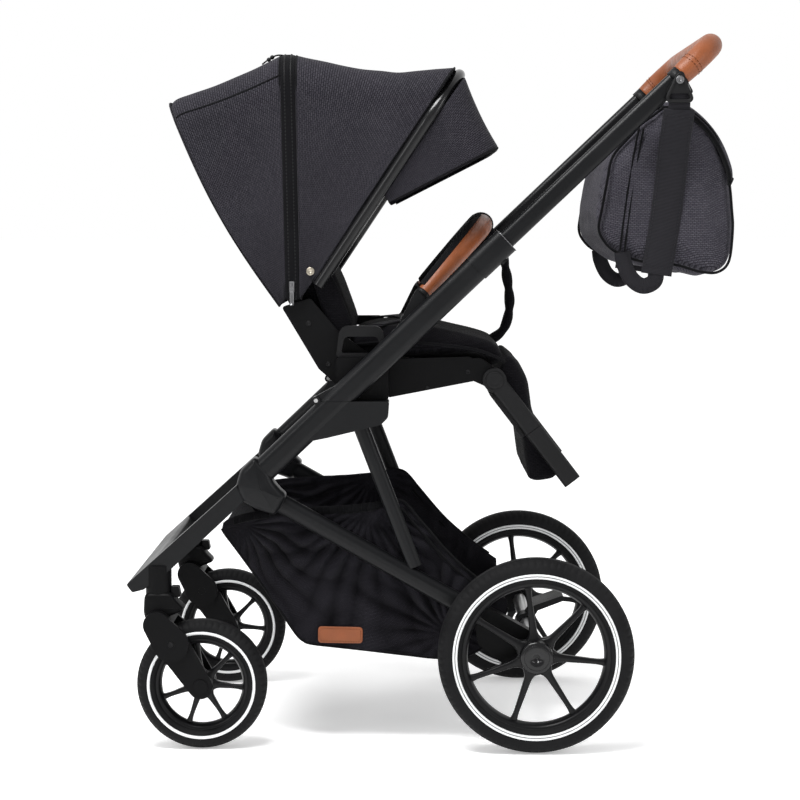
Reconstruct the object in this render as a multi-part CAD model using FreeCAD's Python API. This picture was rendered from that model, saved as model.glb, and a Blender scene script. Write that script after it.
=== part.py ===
import FreeCAD, Part
import math
import os

from FreeCAD import Vector

# A baby stroller with the seat facing the handle. Millimetres. The stroller travels towards -X,
# +Z is up, the floor is Z = 0, and left is -Y. Outlines are given in the side view, as (x, z).
# They are laid out from a line 31.4 mm in front of the middle of the stroller's length.

LAYOUT_TO_MIDDLE = -31.4

# ---------------------------------------------------------------- driving dimensions

GAP = 0.4                       # between pieces that move past each other
RUNNING = 0.05                  # radial clearance of a shaft in its hole

REAR_WHEEL = (190.0, 147.5)     # centre, and the radius is the same as its height
REAR_WHEEL_Y = 270.0
REAR_TYRE_HALF = 22.5
REAR_BEAD = 110.0

FRONT_WHEEL = (-312.0, 98.7)
FRONT_WHEEL_Y = 240.0
FRONT_TYRE_HALF = 21.0
FRONT_BEAD = 69.0

SWIVEL_X = -376.6
SWIVEL_RADIUS = 19.5
SWIVEL_SEAM_Z = 229.0
ARM_PIVOT = (-355.0, 164.0)

TUBE_Y = 242.0                  # middle of the main tubes
TUBE_HALF = 13.0                # half their width across Y
TUBE_HEIGHT = 38.0
TUBE_ANGLE = math.radians(43.5)
COLLAR_END = (145.0, 766.0)
SEAM_Z = 526.0
FOLD_PIN = (-138.5, 527.5)
INNER_TUBE = (27.0, 17.0)
GRIP_START = 354.0              # distance up the tube from the collar's end
GRIP_RADIUS = 16.0
GRIP_BEND = 60.0

REAR_LEG_Y = 226.0
REAR_LEG_HALF = 12.0

SEAT_HUB = (-71.0, 561.0)
SEAT_PLATE_Y = (175.0, 182.5)
BACK_PLATE_Y = (183.5, 190.5)
ADAPTOR_Y = (192.0, 224.0)
LOOP_Y = (199.6, 213.0)

BACK_BASE = (-130.0, 575.0)     # foot of the backrest board's rear face
BACK_ANGLE = math.radians(118.5)

CANOPY_HALF = 200.0
CANOPY_CORNER = 90.0
CANOPY_WALL = 5.0
REAR_RIB = ((-194.0, 666.0), math.radians(119.2), 352.0)
MID_RIB = ((-175.0, 676.0), math.radians(91.2), 366.0)
FRONT_ARC = ((-137.0, 697.0), math.radians(56.3), 386.0)
VISOR_EDGE = ((-30.0, 822.0), math.radians(27.0), 186.0)
ARC_RADIUS = 9.0

LEG_PIVOT = (130.0, 554.0)
LEG_TIP = (249.0, 399.0)
LEG_ARM_Y = (184.0, 196.0)

BUMPER_PIVOT = (-18.0, 606.0)
BUMPER_ARM_Y = (199.5, 211.5)
BUMPER_ARM_TIP = (17.0, 681.0)
BUMPER_ANGLE = math.radians(48.0)
BUMPER_RISE = 146.0
BUMPER_HALF = 205.0

BAG_HOOK = 349.0                # distance up the tube from the collar's end
BAG_HALF = 198.0
SPOKES = 7
FIRST_SPOKE = 97.0

nodes = {}
SIDES = (("left", True), ("right", False))


# ---------------------------------------------------------------- building blocks

def flip(shape, is_left):
    """Everything is drawn on the right (+Y) and mirrored for the left."""
    return shape.mirror(Vector(0, 0, 0), Vector(0, 1, 0)) if is_left else shape


def pair(shape):
    return Part.makeCompound([flip(shape, True), shape])


def step(start, angle, along, out=0.0):
    """The (x, z) point reached by going along a direction and then square to it, anticlockwise."""
    return (start[0] + along * math.cos(angle) - out * math.sin(angle),
            start[1] + along * math.sin(angle) + out * math.cos(angle))


def up_tube(distance, out=0.0):
    return step(COLLAR_END, TUBE_ANGLE, distance, out)


def rounded_wire(corners, y):
    """A closed side-view outline. A corner is (x, z) or (x, z, radius)."""
    turns = []
    for i, corner in enumerate(corners):
        here = Vector(corner[0], y, corner[1])
        if len(corner) == 2:
            turns.append((here, here, None))
            continue
        before, after = corners[i - 1], corners[(i + 1) % len(corners)]
        back = Vector(before[0] - here.x, 0, before[1] - here.z).normalize()
        ahead = Vector(after[0] - here.x, 0, after[1] - here.z).normalize()
        half = back.getAngle(ahead) / 2
        middle = (back + ahead).normalize()
        reach = corner[2] / math.tan(half)
        crest = here + middle * (corner[2] / math.sin(half) - corner[2])
        first, last = here + back * reach, here + ahead * reach
        turns.append((first, last, Part.Arc(first, crest, last).toShape()))
    edges = []
    for i, (first, last, arc) in enumerate(turns):
        start = turns[i - 1][1]
        if start.distanceToPoint(first) > 1e-6:
            edges.append(Part.makeLine(start, first))
        if arc:
            edges.append(arc)
    return Part.Wire(edges)


def plate(corners, y_low, y_high):
    """A side-view outline, extruded across Y."""
    return Part.Face(rounded_wire(corners, y_low)).extrude(Vector(0, y_high - y_low, 0))


def disc(centre, radius, y_low, y_high):
    return Part.makeCylinder(radius, y_high - y_low, Vector(centre[0], y_low, centre[1]), Vector(0, 1, 0))


def link(first, first_radius, last, last_radius, y_low, y_high):
    """A plate round two circles and the tangents between them."""
    angle = math.atan2(last[1] - first[1], last[0] - first[0])
    spread = math.acos((first_radius - last_radius) / math.dist(first, last))

    def rim(centre, radius, turn):
        return Vector(centre[0] + radius * math.cos(turn), y_low, centre[1] + radius * math.sin(turn))

    a, b = rim(first, first_radius, angle + spread), rim(first, first_radius, angle - spread)
    c, d = rim(last, last_radius, angle - spread), rim(last, last_radius, angle + spread)
    edges = [Part.Arc(a, rim(first, first_radius, angle + math.pi), b).toShape(), Part.makeLine(b, c),
             Part.Arc(c, rim(last, last_radius, angle), d).toShape(), Part.makeLine(d, a)]
    return Part.Face(Part.Wire(edges)).extrude(Vector(0, y_high - y_low, 0))


def oval(start, end, y, height, width, wall=0.0):
    """A straight bar or tube of flat oval section, height in the side view and width across Y."""
    first, last = Vector(start[0], y, start[1]), Vector(end[0], y, end[1])
    up = Vector(0, 1, 0).cross(last - first).normalize()
    side = Vector(0, 1, 0)

    def solid(tall, wide):
        radius = min(tall, wide) / 2
        long_way, short_way = (up, side) if tall >= wide else (side, up)
        straight = max(tall, wide) / 2 - radius
        corner = [first + long_way * (straight * i) + short_way * (radius * j)
                  for i, j in ((1, 1), (1, -1), (-1, -1), (-1, 1))]
        ends = [first + long_way * ((straight + radius) * i) for i in (1, -1)]
        edges = [Part.Arc(corner[0], ends[0], corner[1]).toShape(),
                 Part.makeLine(corner[1], corner[2]),
                 Part.Arc(corner[2], ends[1], corner[3]).toShape(),
                 Part.makeLine(corner[3], corner[0])]
        return Part.Face(Part.Wire(edges)).extrude(last - first)

    if not wall:
        return solid(height, width)
    return solid(height, width).cut(solid(height - 2 * wall, width - 2 * wall))


def rod(first, last, radius):
    way = last - first
    return Part.makeCylinder(radius, way.Length, first, way)


def bend(start, tangent, centre, axis, degrees, radius):
    """A round rod bent about an axis through centre."""
    face = Part.Face(Part.Wire(Part.makeCircle(radius, start, tangent)))
    return face.revolve(centre, axis, degrees)


def hoop(base, angle, length, half, corner, radius):
    """A round rod bent into an upside-down U: two legs that rise from base, and a crossbar."""
    way = Vector(math.cos(angle), 0, math.sin(angle))
    foot = Vector(base[0], half, base[1])
    shoulder = foot + way * (length - corner)
    middle = shoulder - Vector(0, corner, 0)
    crown = middle + way * corner
    turn_axis = way.cross(Vector(0, -1, 0))
    side = [rod(foot, shoulder, radius),
            bend(shoulder, way, middle, turn_axis, 90, radius),
            rod(crown, Vector(crown.x, 0, crown.z), radius)]
    right = side[0].fuse(side[1:])
    return right.fuse(flip(right, True)).removeSplitter()


def arch(base, angle, length, half, corner):
    """The closed outline of a canopy hoop: two sides, two round shoulders and a flat top."""
    def at(along, y):
        return Vector(base[0] + along * math.cos(angle), y, base[1] + along * math.sin(angle))

    sink = corner * (1 - math.sqrt(0.5))
    edges = [Part.makeLine(at(0, -half), at(length - corner, -half)),
             Part.Arc(at(length - corner, -half), at(length - sink, -half + sink),
                      at(length, -half + corner)).toShape(),
             Part.makeLine(at(length, -half + corner), at(length, half - corner)),
             Part.Arc(at(length, half - corner), at(length - sink, half - sink),
                      at(length - corner, half)).toShape(),
             Part.makeLine(at(length - corner, half), at(0, half)),
             Part.makeLine(at(0, half), at(0, -half))]
    return Part.Wire(edges)


def hood(first, first_out, last, last_out, closed_by=0.0):
    """A sheet stretched over two canopy hoops. The outs move its ends off the hoops' planes.
    It is open below and in front, and at the back too unless closed_by gives a back wall."""
    def loft(wall, ends):
        wires = []
        for (base, angle, length), out in zip((first, last), ends):
            start = step(base, angle, 0.0 if not wall else -30.0, out)
            reach = length if not wall else length + 30.0 - wall
            wires.append(arch(start, angle, reach, CANOPY_HALF - wall, CANOPY_CORNER - wall))
        return Part.makeLoft(wires, True, True)

    past = 3.0
    back = first_out - closed_by if closed_by else first_out + past
    return loft(0.0, (first_out, last_out)).cut(loft(CANOPY_WALL, (back, last_out - past)))


# ---------------------------------------------------------------- wheels

def tyre(radius, half, bead):
    shoulder = radius - 0.69 * half
    low, high = Vector(shoulder, -half, 0), Vector(shoulder, half, 0)
    foot = 0.6 * half
    edges = [Part.makeLine(Vector(bead, foot, 0), Vector(bead, -foot, 0)),
             Part.makeLine(Vector(bead, -foot, 0), Vector(bead + 6, -0.9 * half, 0)),
             Part.makeLine(Vector(bead + 6, -0.9 * half, 0), low),
             Part.Arc(low, Vector(radius, 0, 0), high).toShape(),
             Part.makeLine(high, Vector(bead + 6, 0.9 * half, 0)),
             Part.makeLine(Vector(bead + 6, 0.9 * half, 0), Vector(bead, foot, 0))]
    return Part.Face(Part.Wire(edges)).revolve(Vector(0, 0, 0), Vector(0, 1, 0), 360)


def rim(bead, half, hub, hub_half, root, tip, bore):
    """A moulded wheel. Its spokes taper from root to tip in width, and flare into the hub."""
    ring = Part.makeCylinder(bead, 1.2 * half, Vector(0, -0.6 * half, 0), Vector(0, 1, 0))
    ring = ring.cut(Part.makeCylinder(bead - 5, 1.3 * half, Vector(0, -0.65 * half, 0), Vector(0, 1, 0)))
    pieces = [Part.makeCylinder(hub, 2 * hub_half, Vector(0, -hub_half, 0), Vector(0, 1, 0))]
    flare = 1.35 * hub
    for k in range(SPOKES):
        turn = math.radians(FIRST_SPOKE + 360.0 / SPOKES * k)
        outline = [(0.8 * hub, root), (flare, 0.5 * root), (bead - 4.5, 0.5 * tip)]
        outline += [(r, -w) for r, w in reversed(outline)]
        corners = [(r * math.cos(turn) - w * math.sin(turn), r * math.sin(turn) + w * math.cos(turn))
                   for r, w in outline]
        pieces.append(plate(corners, -0.4 * half, 0.4 * half))
    wheel = ring.fuse(pieces)
    return wheel.cut(Part.makeCylinder(bore, 4 * hub_half, Vector(0, -2 * hub_half, 0), Vector(0, 1, 0)))


def placed(shape, centre, y):
    copy = shape.copy()
    copy.translate(Vector(centre[0], y, centre[1]))
    return copy


def wheels():
    rear_hub_half = 24.0
    rear_axle_radius = 6.0
    front_axle_radius = 5.0
    rear_cap = disc((0, 0), 25.0, rear_hub_half, rear_hub_half + 1.8)
    rear_rim = rim(REAR_BEAD, REAR_TYRE_HALF, 23.0, rear_hub_half, 12.5, 8.5, rear_axle_radius + RUNNING)
    rear_rim = rear_rim.fuse(rear_cap).removeSplitter()
    front_rim = rim(FRONT_BEAD, FRONT_TYRE_HALF, 17.0, FRONT_TYRE_HALF, 9.0, 6.5,
                    front_axle_radius + RUNNING)
    for side, is_left in SIDES:
        shape = placed(tyre(REAR_WHEEL[1], REAR_TYRE_HALF, REAR_BEAD), REAR_WHEEL, REAR_WHEEL_Y)
        nodes[f"rear_tyre_{side}"] = flip(shape, is_left)
        nodes[f"rear_rim_{side}"] = flip(placed(rear_rim, REAR_WHEEL, REAR_WHEEL_Y), is_left)
        shape = placed(tyre(FRONT_WHEEL[1], FRONT_TYRE_HALF, FRONT_BEAD), FRONT_WHEEL, FRONT_WHEEL_Y)
        nodes[f"front_tyre_{side}"] = flip(shape, is_left)
        nodes[f"front_rim_{side}"] = flip(placed(front_rim, FRONT_WHEEL, FRONT_WHEEL_Y), is_left)
    inner = 214.0
    axle = disc(REAR_WHEEL, 11.0, -inner, inner)
    end = REAR_WHEEL_Y + rear_hub_half - GAP
    nodes["rear_axle"] = axle.fuse(disc(REAR_WHEEL, rear_axle_radius, -end, end)).removeSplitter()


# ---------------------------------------------------------------- front forks

def forks():
    """Each fork head swivels on a pin. Its two cheeks hold the sprung arm that carries the wheel."""
    y = FRONT_WHEEL_Y
    wheel_room = FRONT_TYRE_HALF + 2.3
    arm_out = wheel_room + 7.7
    cheek_in = arm_out + 0.3
    cheek_out = cheek_in + 6.7
    pin_radius = 6.0
    pin_top = 246.0
    neck_foot = 210.0

    neck = Part.makeCylinder(SWIVEL_RADIUS, SWIVEL_SEAM_Z - GAP - neck_foot + 8,
                             Vector(SWIVEL_X, y, neck_foot - 8))
    pin = Part.makeCylinder(pin_radius, pin_top - neck_foot, Vector(SWIVEL_X, y, neck_foot))
    body = link((SWIVEL_X, 193), 20.0, ARM_PIVOT, 26.5, y - cheek_out, y + cheek_out)
    room = disc(FRONT_WHEEL, 105.5, y - cheek_in, y + cheek_in)
    stub_hole = disc(ARM_PIVOT, pin_radius + RUNNING, y - 50, y + 50)
    head = neck.fuse([pin, body]).cut(room).cut(stub_hole).removeSplitter()

    plates = [link(ARM_PIVOT, 24.5, FRONT_WHEEL, 18.5, y + low, y + low + arm_out - wheel_room)
              for low in (-arm_out, wheel_room)]
    stubs = [disc(ARM_PIVOT, pin_radius, y - cheek_out, y - wheel_room - 1),
             disc(ARM_PIVOT, pin_radius, y + wheel_room + 1, y + cheek_out)]
    axle = disc(FRONT_WHEEL, 5.0, y - arm_out - 1.5, y + arm_out + 1.5)
    caps = [disc(FRONT_WHEEL, 11.0, y + low, y + low + 2.5) for low in (-arm_out - 2, arm_out - 0.5)]
    arm = plates[0].fuse(plates[1:] + stubs + [axle] + caps).removeSplitter()

    lock_room = SWIVEL_X + SWIVEL_RADIUS + GAP
    lock = plate([(lock_room, 231), (lock_room + 14, 231, 3), (lock_room + 11, 247, 3), (lock_room, 247)],
                 y - 9, y + 9)
    for side, is_left in SIDES:
        nodes[f"fork_head_{side}"] = flip(head, is_left)
        nodes[f"fork_arm_{side}"] = flip(arm, is_left)
        nodes[f"swivel_lock_{side}"] = flip(lock, is_left)

    bore = Part.makeCylinder(pin_radius + RUNNING, pin_top + 1 - SWIVEL_SEAM_Z + 5,
                             Vector(SWIVEL_X, y, SWIVEL_SEAM_Z - 5))
    return Part.makeCylinder(SWIVEL_RADIUS, 50, Vector(SWIVEL_X, y, SWIVEL_SEAM_Z)), bore


# ---------------------------------------------------------------- chassis

def chassis():
    tube_low, tube_high = TUBE_Y - TUBE_HALF, TUBE_Y + TUBE_HALF
    elbow = plate([(-233, 433, 3), (-258, 400, 8), (-247, 376, 5), (-206, 361, 4), (-192, 383, 4),
                   (-207, 404, 3)], 212, 257)
    leg = plate([(-424, 250.6, 3), (-240, 416.2), (-225, 397), (-356.6, 274), (-398, 243, 4),
                 (-415, 238.7, 4)], tube_low + 1, tube_high - 1)
    front_leg = leg.cut(elbow)
    inner = tube_low + 1
    nodes["front_crossbar"] = plate([(-424, 250.6, 3), (-378, 292, 6), (-366, 279, 6), (-398, 246, 4),
                                     (-415, 238.7, 4)], -inner, inner)
    for side, is_left in SIDES:
        nodes[f"front_leg_{side}"] = flip(front_leg, is_left)
    nodes["elbows"] = pair(elbow)

    swivel, bore = forks()
    housing = swivel.cut([leg, nodes["front_crossbar"]])
    housing = max(housing.Solids, key=lambda solid: solid.Volume)
    nodes["swivel_housings"] = pair(housing.cut(bore))

    # The lower tube and the bracket that holds the seat are one casting, flat on top at the seam.
    foot, head = up_tube(-500.0), up_tube(-330.0)
    lower = oval(foot, head, TUBE_Y, TUBE_HEIGHT, 2 * TUBE_HALF, wall=2.5)
    above = Part.makeBox(400, 200, 200, Vector(-300, 150, SEAM_Z))
    block = plate([(-136.0, SEAM_Z), (-29.5, SEAM_Z, 4), (-31, 502, 10), (-42, 491, 12), (-83, 481, 20),
                   (-122.5, 471.5, 10), (-150, 466), (-165, 470)], 194, tube_high - 2)
    tube_core = oval(foot, head, TUBE_Y, TUBE_HEIGHT - 5, 2 * TUBE_HALF - 5)
    lugs = [disc(FOLD_PIN, 6.0, low, low + 6.9) for low in (tube_low + 0.5, tube_high - 7.4)]
    lug_room = disc(FOLD_PIN, 6.4, tube_low + 7.7, tube_high - 7.7)
    pin = disc(FOLD_PIN, 3.0, tube_low + 0.5, tube_high - 0.5)
    socket = Part.makeBox(51, 13, 27, Vector(-95.5, 201.5, SEAM_Z - 27))
    web = oval(up_tube(-352.0), up_tube(-330.0), TUBE_Y, TUBE_HEIGHT - 4, 2 * TUBE_HALF - 4)
    bracket = lower.fuse([block.cut(tube_core), web]).cut(above).fuse(lugs)
    bracket = bracket.cut(lug_room).cut(pin).cut(socket).cut(elbow)
    nodes["hinge_brackets"] = pair(bracket)
    nodes["fold_pins"] = pair(pin)

    housing = plate([(94, 226, 12), (140, 203, 14), (184, 178, 14), (199, 150, 14), (182, 127, 10),
                     (150, 122, 12), (104, 158, 12)], REAR_LEG_Y - REAR_LEG_HALF, 243.5)
    rear_leg = oval((-205, 377), (126, 190.1), REAR_LEG_Y, 29, 2 * REAR_LEG_HALF, wall=2)
    rear_leg = rear_leg.cut(elbow).cut(housing)
    nodes["rear_housings"] = pair(housing.cut(nodes["rear_axle"]))
    for side, is_left in SIDES:
        nodes[f"rear_leg_{side}"] = flip(rear_leg, is_left)
    filled_leg = oval((-205, 377), (126, 190.1), REAR_LEG_Y, 29, 2 * REAR_LEG_HALF)
    strut = oval((-75, 493), (9, 274), REAR_LEG_Y, 23, 18, wall=2).cut(filled_leg)
    strut = strut.cut(block)
    nodes["struts"] = pair(max(strut.Solids, key=lambda solid: solid.Volume))

    tread = [(203, 172), (250, 190, 4), (247, 198, 4), (199, 181)]
    pedal = plate(tread, -38, 38).fuse([disc(REAR_WHEEL, 18.0, -16, 16),
                                        plate([(184, 160), (203, 160), (214, 178), (200, 182)], -12, 12)])
    nodes["brake_pedal"] = pedal.cut(disc(REAR_WHEEL, 11.0 + RUNNING, -50, 50)).removeSplitter()


def basket():
    """A cloth tub slung between the legs, open on top and towards the handle."""
    half, wall = 205.0, 5.0
    outside = plate([(-279, 305, 10), (-262, 338, 12), (-215, 352, 10), (-120, 362), (-14, 374, 8),
                     (70, 281), (150, 213, 8), (125, 158, 20), (47, 132, 25), (-104, 132, 25),
                     (-167, 162, 20), (-232, 244)], -half, half)
    inside = plate([(-273, 305), (-256, 420), (-19, 420), (40, 300), (60, 284), (143, 211), (119, 161, 15),
                    (46, 137, 22), (-103, 137, 22), (-163, 166, 17), (-227, 247)], -half + wall, half - wall)
    nodes["basket"] = outside.cut(inside)


# ---------------------------------------------------------------- handle and bag

def upper_frame():
    low, high = TUBE_Y - TUBE_HALF, TUBE_Y + TUBE_HALF
    foot = up_tube(-400.0)
    room = (INNER_TUBE[0] + 0.8, INNER_TUBE[1] + 0.8)
    bore = oval(foot, up_tube(5.0), TUBE_Y, *room)
    below = Part.makeBox(400, 200, 200, Vector(-300, 150, SEAM_Z + GAP - 200))
    tube = oval(foot, COLLAR_END, TUBE_Y, TUBE_HEIGHT, 2 * TUBE_HALF)
    collar = oval(up_tube(-62.0), COLLAR_END, TUBE_Y, TUBE_HEIGHT + 3, 2 * TUBE_HALF + 3)
    lug = disc(FOLD_PIN, 6.0, low + 8.1, high - 8.1)
    lug_neck = plate([(FOLD_PIN[0], SEAM_Z + GAP), (-120, SEAM_Z + GAP), (-112, 548), (-142.3, 532)],
                     low + 8.1, high - 8.1)
    lug_room = [disc(FOLD_PIN, 6.4, low - 1, low + 7.8), disc(FOLD_PIN, 6.4, high - 7.8, high + 1)]
    lug_bore = disc(FOLD_PIN, 3.0 + RUNNING, low, high)
    tube = tube.fuse(collar).cut(bore).cut(below)
    tube = tube.cut(lug_room[0]).cut(lug_room[1]).fuse([lug, lug_neck.cut(bore)]).cut(lug_bore)

    # The height button sits in a pocket under the collar and is pushed in square to the tube.
    button_at = -25.0
    outer_face, floor = -TUBE_HEIGHT / 2 - 1.5, -INNER_TUBE[0] / 2 - 1.0

    def button_rod(radius, start, end):
        a, b = up_tube(button_at, start), up_tube(button_at, end)
        return rod(Vector(a[0], TUBE_Y, a[1]), Vector(b[0], TUBE_Y, b[1]), radius)

    tube = tube.cut(button_rod(6.4, outer_face - 3, floor)).removeSplitter()
    button = button_rod(6.0, outer_face - 2.5, floor - 2.9)

    inner = oval(up_tube(-70.0), up_tube(GRIP_START), TUBE_Y, INNER_TUBE[0], INNER_TUBE[1], wall=1.5)
    for side, is_left in SIDES:
        nodes[f"upper_tube_{side}"] = flip(tube, is_left)
        nodes[f"height_button_{side}"] = flip(button, is_left)
        nodes[f"handle_tube_{side}"] = flip(inner, is_left)
    crossbar = GRIP_START + 9.0 + GRIP_BEND
    nodes["handle_grip"] = hoop(up_tube(GRIP_START), TUBE_ANGLE, crossbar - GRIP_START, TUBE_Y, GRIP_BEND,
                                GRIP_RADIUS)


def bag():
    hook = up_tube(BAG_HOOK)
    outer = TUBE_Y + INNER_TUBE[1] / 2
    stud = disc(hook, 7.0, outer, outer + 9)
    buckle = plate([(hook[0], hook[1] + 14, 4), (hook[0] + 22, hook[1] - 26, 4),
                    (hook[0] - 22, hook[1] - 26, 4)], outer + 1, outer + 5)
    window = plate([(hook[0] + 13, hook[1] - 12), (hook[0] + 17, hook[1] - 21),
                    (hook[0] - 17, hook[1] - 21), (hook[0] - 13, hook[1] - 12)], outer, outer + 6)
    hooks = pair(stud.fuse(buckle.cut(window)).removeSplitter())
    nodes["bag_hooks"] = hooks.cut(nodes["handle_grip"])
    outline = [(302, 885, 18), (283, 777, 14), (317, 745, 12), (352, 731), (400, 729), (457, 714, 10),
               (480, 726, 10), (486, 801), (481, 863, 20), (457, 939, 18), (414, 966, 20)]
    wall = 9.0
    inside = Part.Face(rounded_wire(outline, wall - BAG_HALF)).makeOffset2D(-wall)
    inside = inside.extrude(Vector(0, 2 * (BAG_HALF - wall), 0))
    nodes["bag_body"] = plate(outline, -BAG_HALF, BAG_HALF).cut(inside)
    strap = plate([(378, 972), (398, 972), (392, 860), (384, 740), (374, 688, 6), (328, 700, 8),
                   (338, 740), (356, 860)], 200, 203)
    loop = plate([(370, 742), (362, 704, 5), (342, 709, 5), (348, 742)], 199, 204)
    hanger = plate([(385, 940), (411, 940), (411, hook[1] - 26.6), (385, hook[1] - 26.6)],
                   outer + 1.5, outer + 4.5)
    riser = Part.makeLoft([rounded_wire([(370, 925), (392, 925), (392, 929), (370, 929)], 200),
                           rounded_wire([(385, 940), (411, 940), (411, 944), (385, 944)], outer + 3)],
                          True, True)
    nodes["bag_straps"] = pair(strap.cut(loop).fuse([riser, hanger]).removeSplitter())


# ---------------------------------------------------------------- seat

def seat():
    low, high = SEAT_PLATE_Y
    side = plate([(-97, 562, 14), (-80, 540, 14), (-29, 527, 4), (105, 553, 12), (120, 574, 8), (92, 589),
                  (-8, 586), (-60, 590, 10)], low, high)
    side = side.fuse(link((104, 569), 18.0, LEG_PIVOT, 15.0, low, high))
    pan = plate([(-92, 568), (98, 574), (110, 582), (-88, 578)], -low, low)
    bar = disc((100, 566), 8.0, -low, low)
    hub = disc(SEAT_HUB, 10.0, low, ADAPTOR_Y[0])
    side = side.cut(disc(LEG_PIVOT, 6.0 + RUNNING, low - 1, high + 1)).fuse(hub)
    nodes["seat_frame"] = pan.fuse([bar, side, flip(side, True)]).removeSplitter()

    top, foot = 590.0, SEAM_Z + GAP
    adaptor = plate([(-109, foot, 3), (-31, foot, 3), (-31, top, 6), (-109, top, 6)], *ADAPTOR_Y)
    tongue = Part.makeBox(50, 12, 24, Vector(-95, 202, foot - 24 + 1))
    mount = link((-38, 586), 12.0, BUMPER_PIVOT, 13.0, ADAPTOR_Y[0], BUMPER_ARM_Y[0] - GAP)
    bumper_pin = disc(BUMPER_PIVOT, 5.0, ADAPTOR_Y[0], BUMPER_ARM_Y[1])
    pocket = Part.makeBox(27, 11, 22, Vector(-84.5, 199.5, top - 21))
    adaptor = adaptor.fuse([tongue, mount, bumper_pin]).cut(pocket).removeSplitter()
    nodes["seat_adaptors"] = pair(adaptor)

    loop = plate([(-110, top + GAP, 4), (-34, top + GAP, 4), (-40, 637, 14), (-104, 637, 14)], *LOOP_Y)
    opening = plate([(-102, 596, 3), (-42, 596, 3), (-47, 621, 8), (-97, 621, 8)], 190, 220)
    stem = Part.makeBox(26, 10, 20, Vector(-84, 200, top - 18))
    loop = loop.cut(opening).fuse(stem).removeSplitter()
    for name, is_left in SIDES:
        nodes[f"release_loop_{name}"] = flip(loop, is_left)

    nodes["seat_pad"] = plate([(-94, 596, 6), (100, 593), (128, 581), (140, 573, 4), (146, 586, 8),
                               (136, 602, 10), (104, 611), (30, 629), (-60, 624), (-94, 613, 6)], -181, 181)
    buckle = plate([(-14, 631, 3), (26, 631.5, 3), (22, 648, 6), (-8, 647, 6)], -22, 22)
    belt = plate([(-88, 627.5), (-10, 632.5), (-10, 636.5), (-88, 631.5)], -19, 19)
    nodes["harness_buckle"] = buckle.fuse(belt).removeSplitter()


def leg_rest():
    angle = math.atan2(LEG_TIP[1] - LEG_PIVOT[1], LEG_TIP[0] - LEG_PIVOT[0])
    length = math.dist(LEG_PIVOT, LEG_TIP)
    low, high = LEG_ARM_Y
    middle, width = (low + high) / 2, high - low
    split = 96.0

    def at(along, out=0.0):
        return step(LEG_PIVOT, angle, along, out)

    arm = oval(at(0), at(split), middle, 28, width).fuse(disc(LEG_PIVOT, 18.0, low, high))
    rail = oval(at(split - 2), at(split + 54), middle, 16, 6)
    pin = disc(LEG_PIVOT, 6.0, low - 14, low + 1)
    board = plate([at(15, -20), at(split, -20), at(split, -15), at(15, -15)], -low, low)
    arm = arm.fuse([rail, pin]).removeSplitter()
    nodes["leg_rest_frame"] = board.fuse([arm, flip(arm, True), *(
        plate([at(20, -20), at(80, -20), at(80, -6), at(20, -6)], y, y + 3) for y in (-low - 2, low - 1))])

    sleeve = oval(at(split + GAP + 0.3), at(length), middle, 28, width)
    sleeve = sleeve.cut(oval(at(split), at(length - 6), middle, 17, 7))
    tread = plate([at(length - 14, -10), at(length, -10), at(length, 10), at(length - 14, 10)], -low - 1, low + 1)
    nodes["footboard"] = tread.fuse([sleeve, flip(sleeve, True)]).removeSplitter()

    outline = [(8, 40, 8), (32, 38, 12), (78, 20), (130, 14), (178, 11, 6), (178, -9, 4), (160, -44, 8),
               (134, -44, 8), (103, -28), (99, -13.5), (14, -13.5), (8, 0)]
    corners = []
    for along, out, *radius in outline:
        corners.append((*at(along, out), *radius))
    pad_half = SEAT_PLATE_Y[0] - 0.6
    nodes["leg_pad"] = plate(corners, -pad_half, pad_half)


def bumper():
    """A bow-shaped bar: flat arms on the seat's pins, and a sleeve of padded leather round the bow."""
    arm = link(BUMPER_PIVOT, 12.5, BUMPER_ARM_TIP, 11.0, *BUMPER_ARM_Y)
    arm = arm.cut(disc(BUMPER_PIVOT, 5.0 + RUNNING, 190, 220))
    way = Vector(math.cos(BUMPER_ANGLE), 0, math.sin(BUMPER_ANGLE))
    tip = Vector(BUMPER_ARM_TIP[0], BUMPER_HALF, BUMPER_ARM_TIP[1])
    radius = (BUMPER_HALF ** 2 + BUMPER_RISE ** 2) / (2 * BUMPER_RISE)
    centre = Vector(tip.x, 0, tip.z) + way * (BUMPER_RISE - radius)
    axis = way.cross(Vector(0, -1, 0))
    tangent = axis.cross(tip - centre).normalize()
    spread = math.degrees((tip - centre).getAngle(way)) * 2
    core = bend(tip, tangent, centre, axis, spread, 7.0)
    nodes["bumper_bar"] = core.fuse([arm, flip(arm, True)]).removeSplitter()

    lead = 3.5
    spin = FreeCAD.Rotation(axis, lead)
    start = centre + spin.multVec(tip - centre)
    sleeve = bend(start, spin.multVec(tangent), centre, axis, spread - 2 * lead, 15.0)
    nodes["bumper_sleeve"] = sleeve.cut(core).cut(arm).cut(flip(arm, True))

    strap = [(134, 771), (151, 728), (161, 674), (156, 622, 8), (140, 611), (135, 619), (147, 630, 8),
             (149, 674), (140, 724), (127, 758)]
    nodes["crotch_strap"] = plate(strap, -20, 20).cut(sleeve.makeOffsetShape(1.0, 0.1))


# ---------------------------------------------------------------- backrest and canopy

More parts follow.
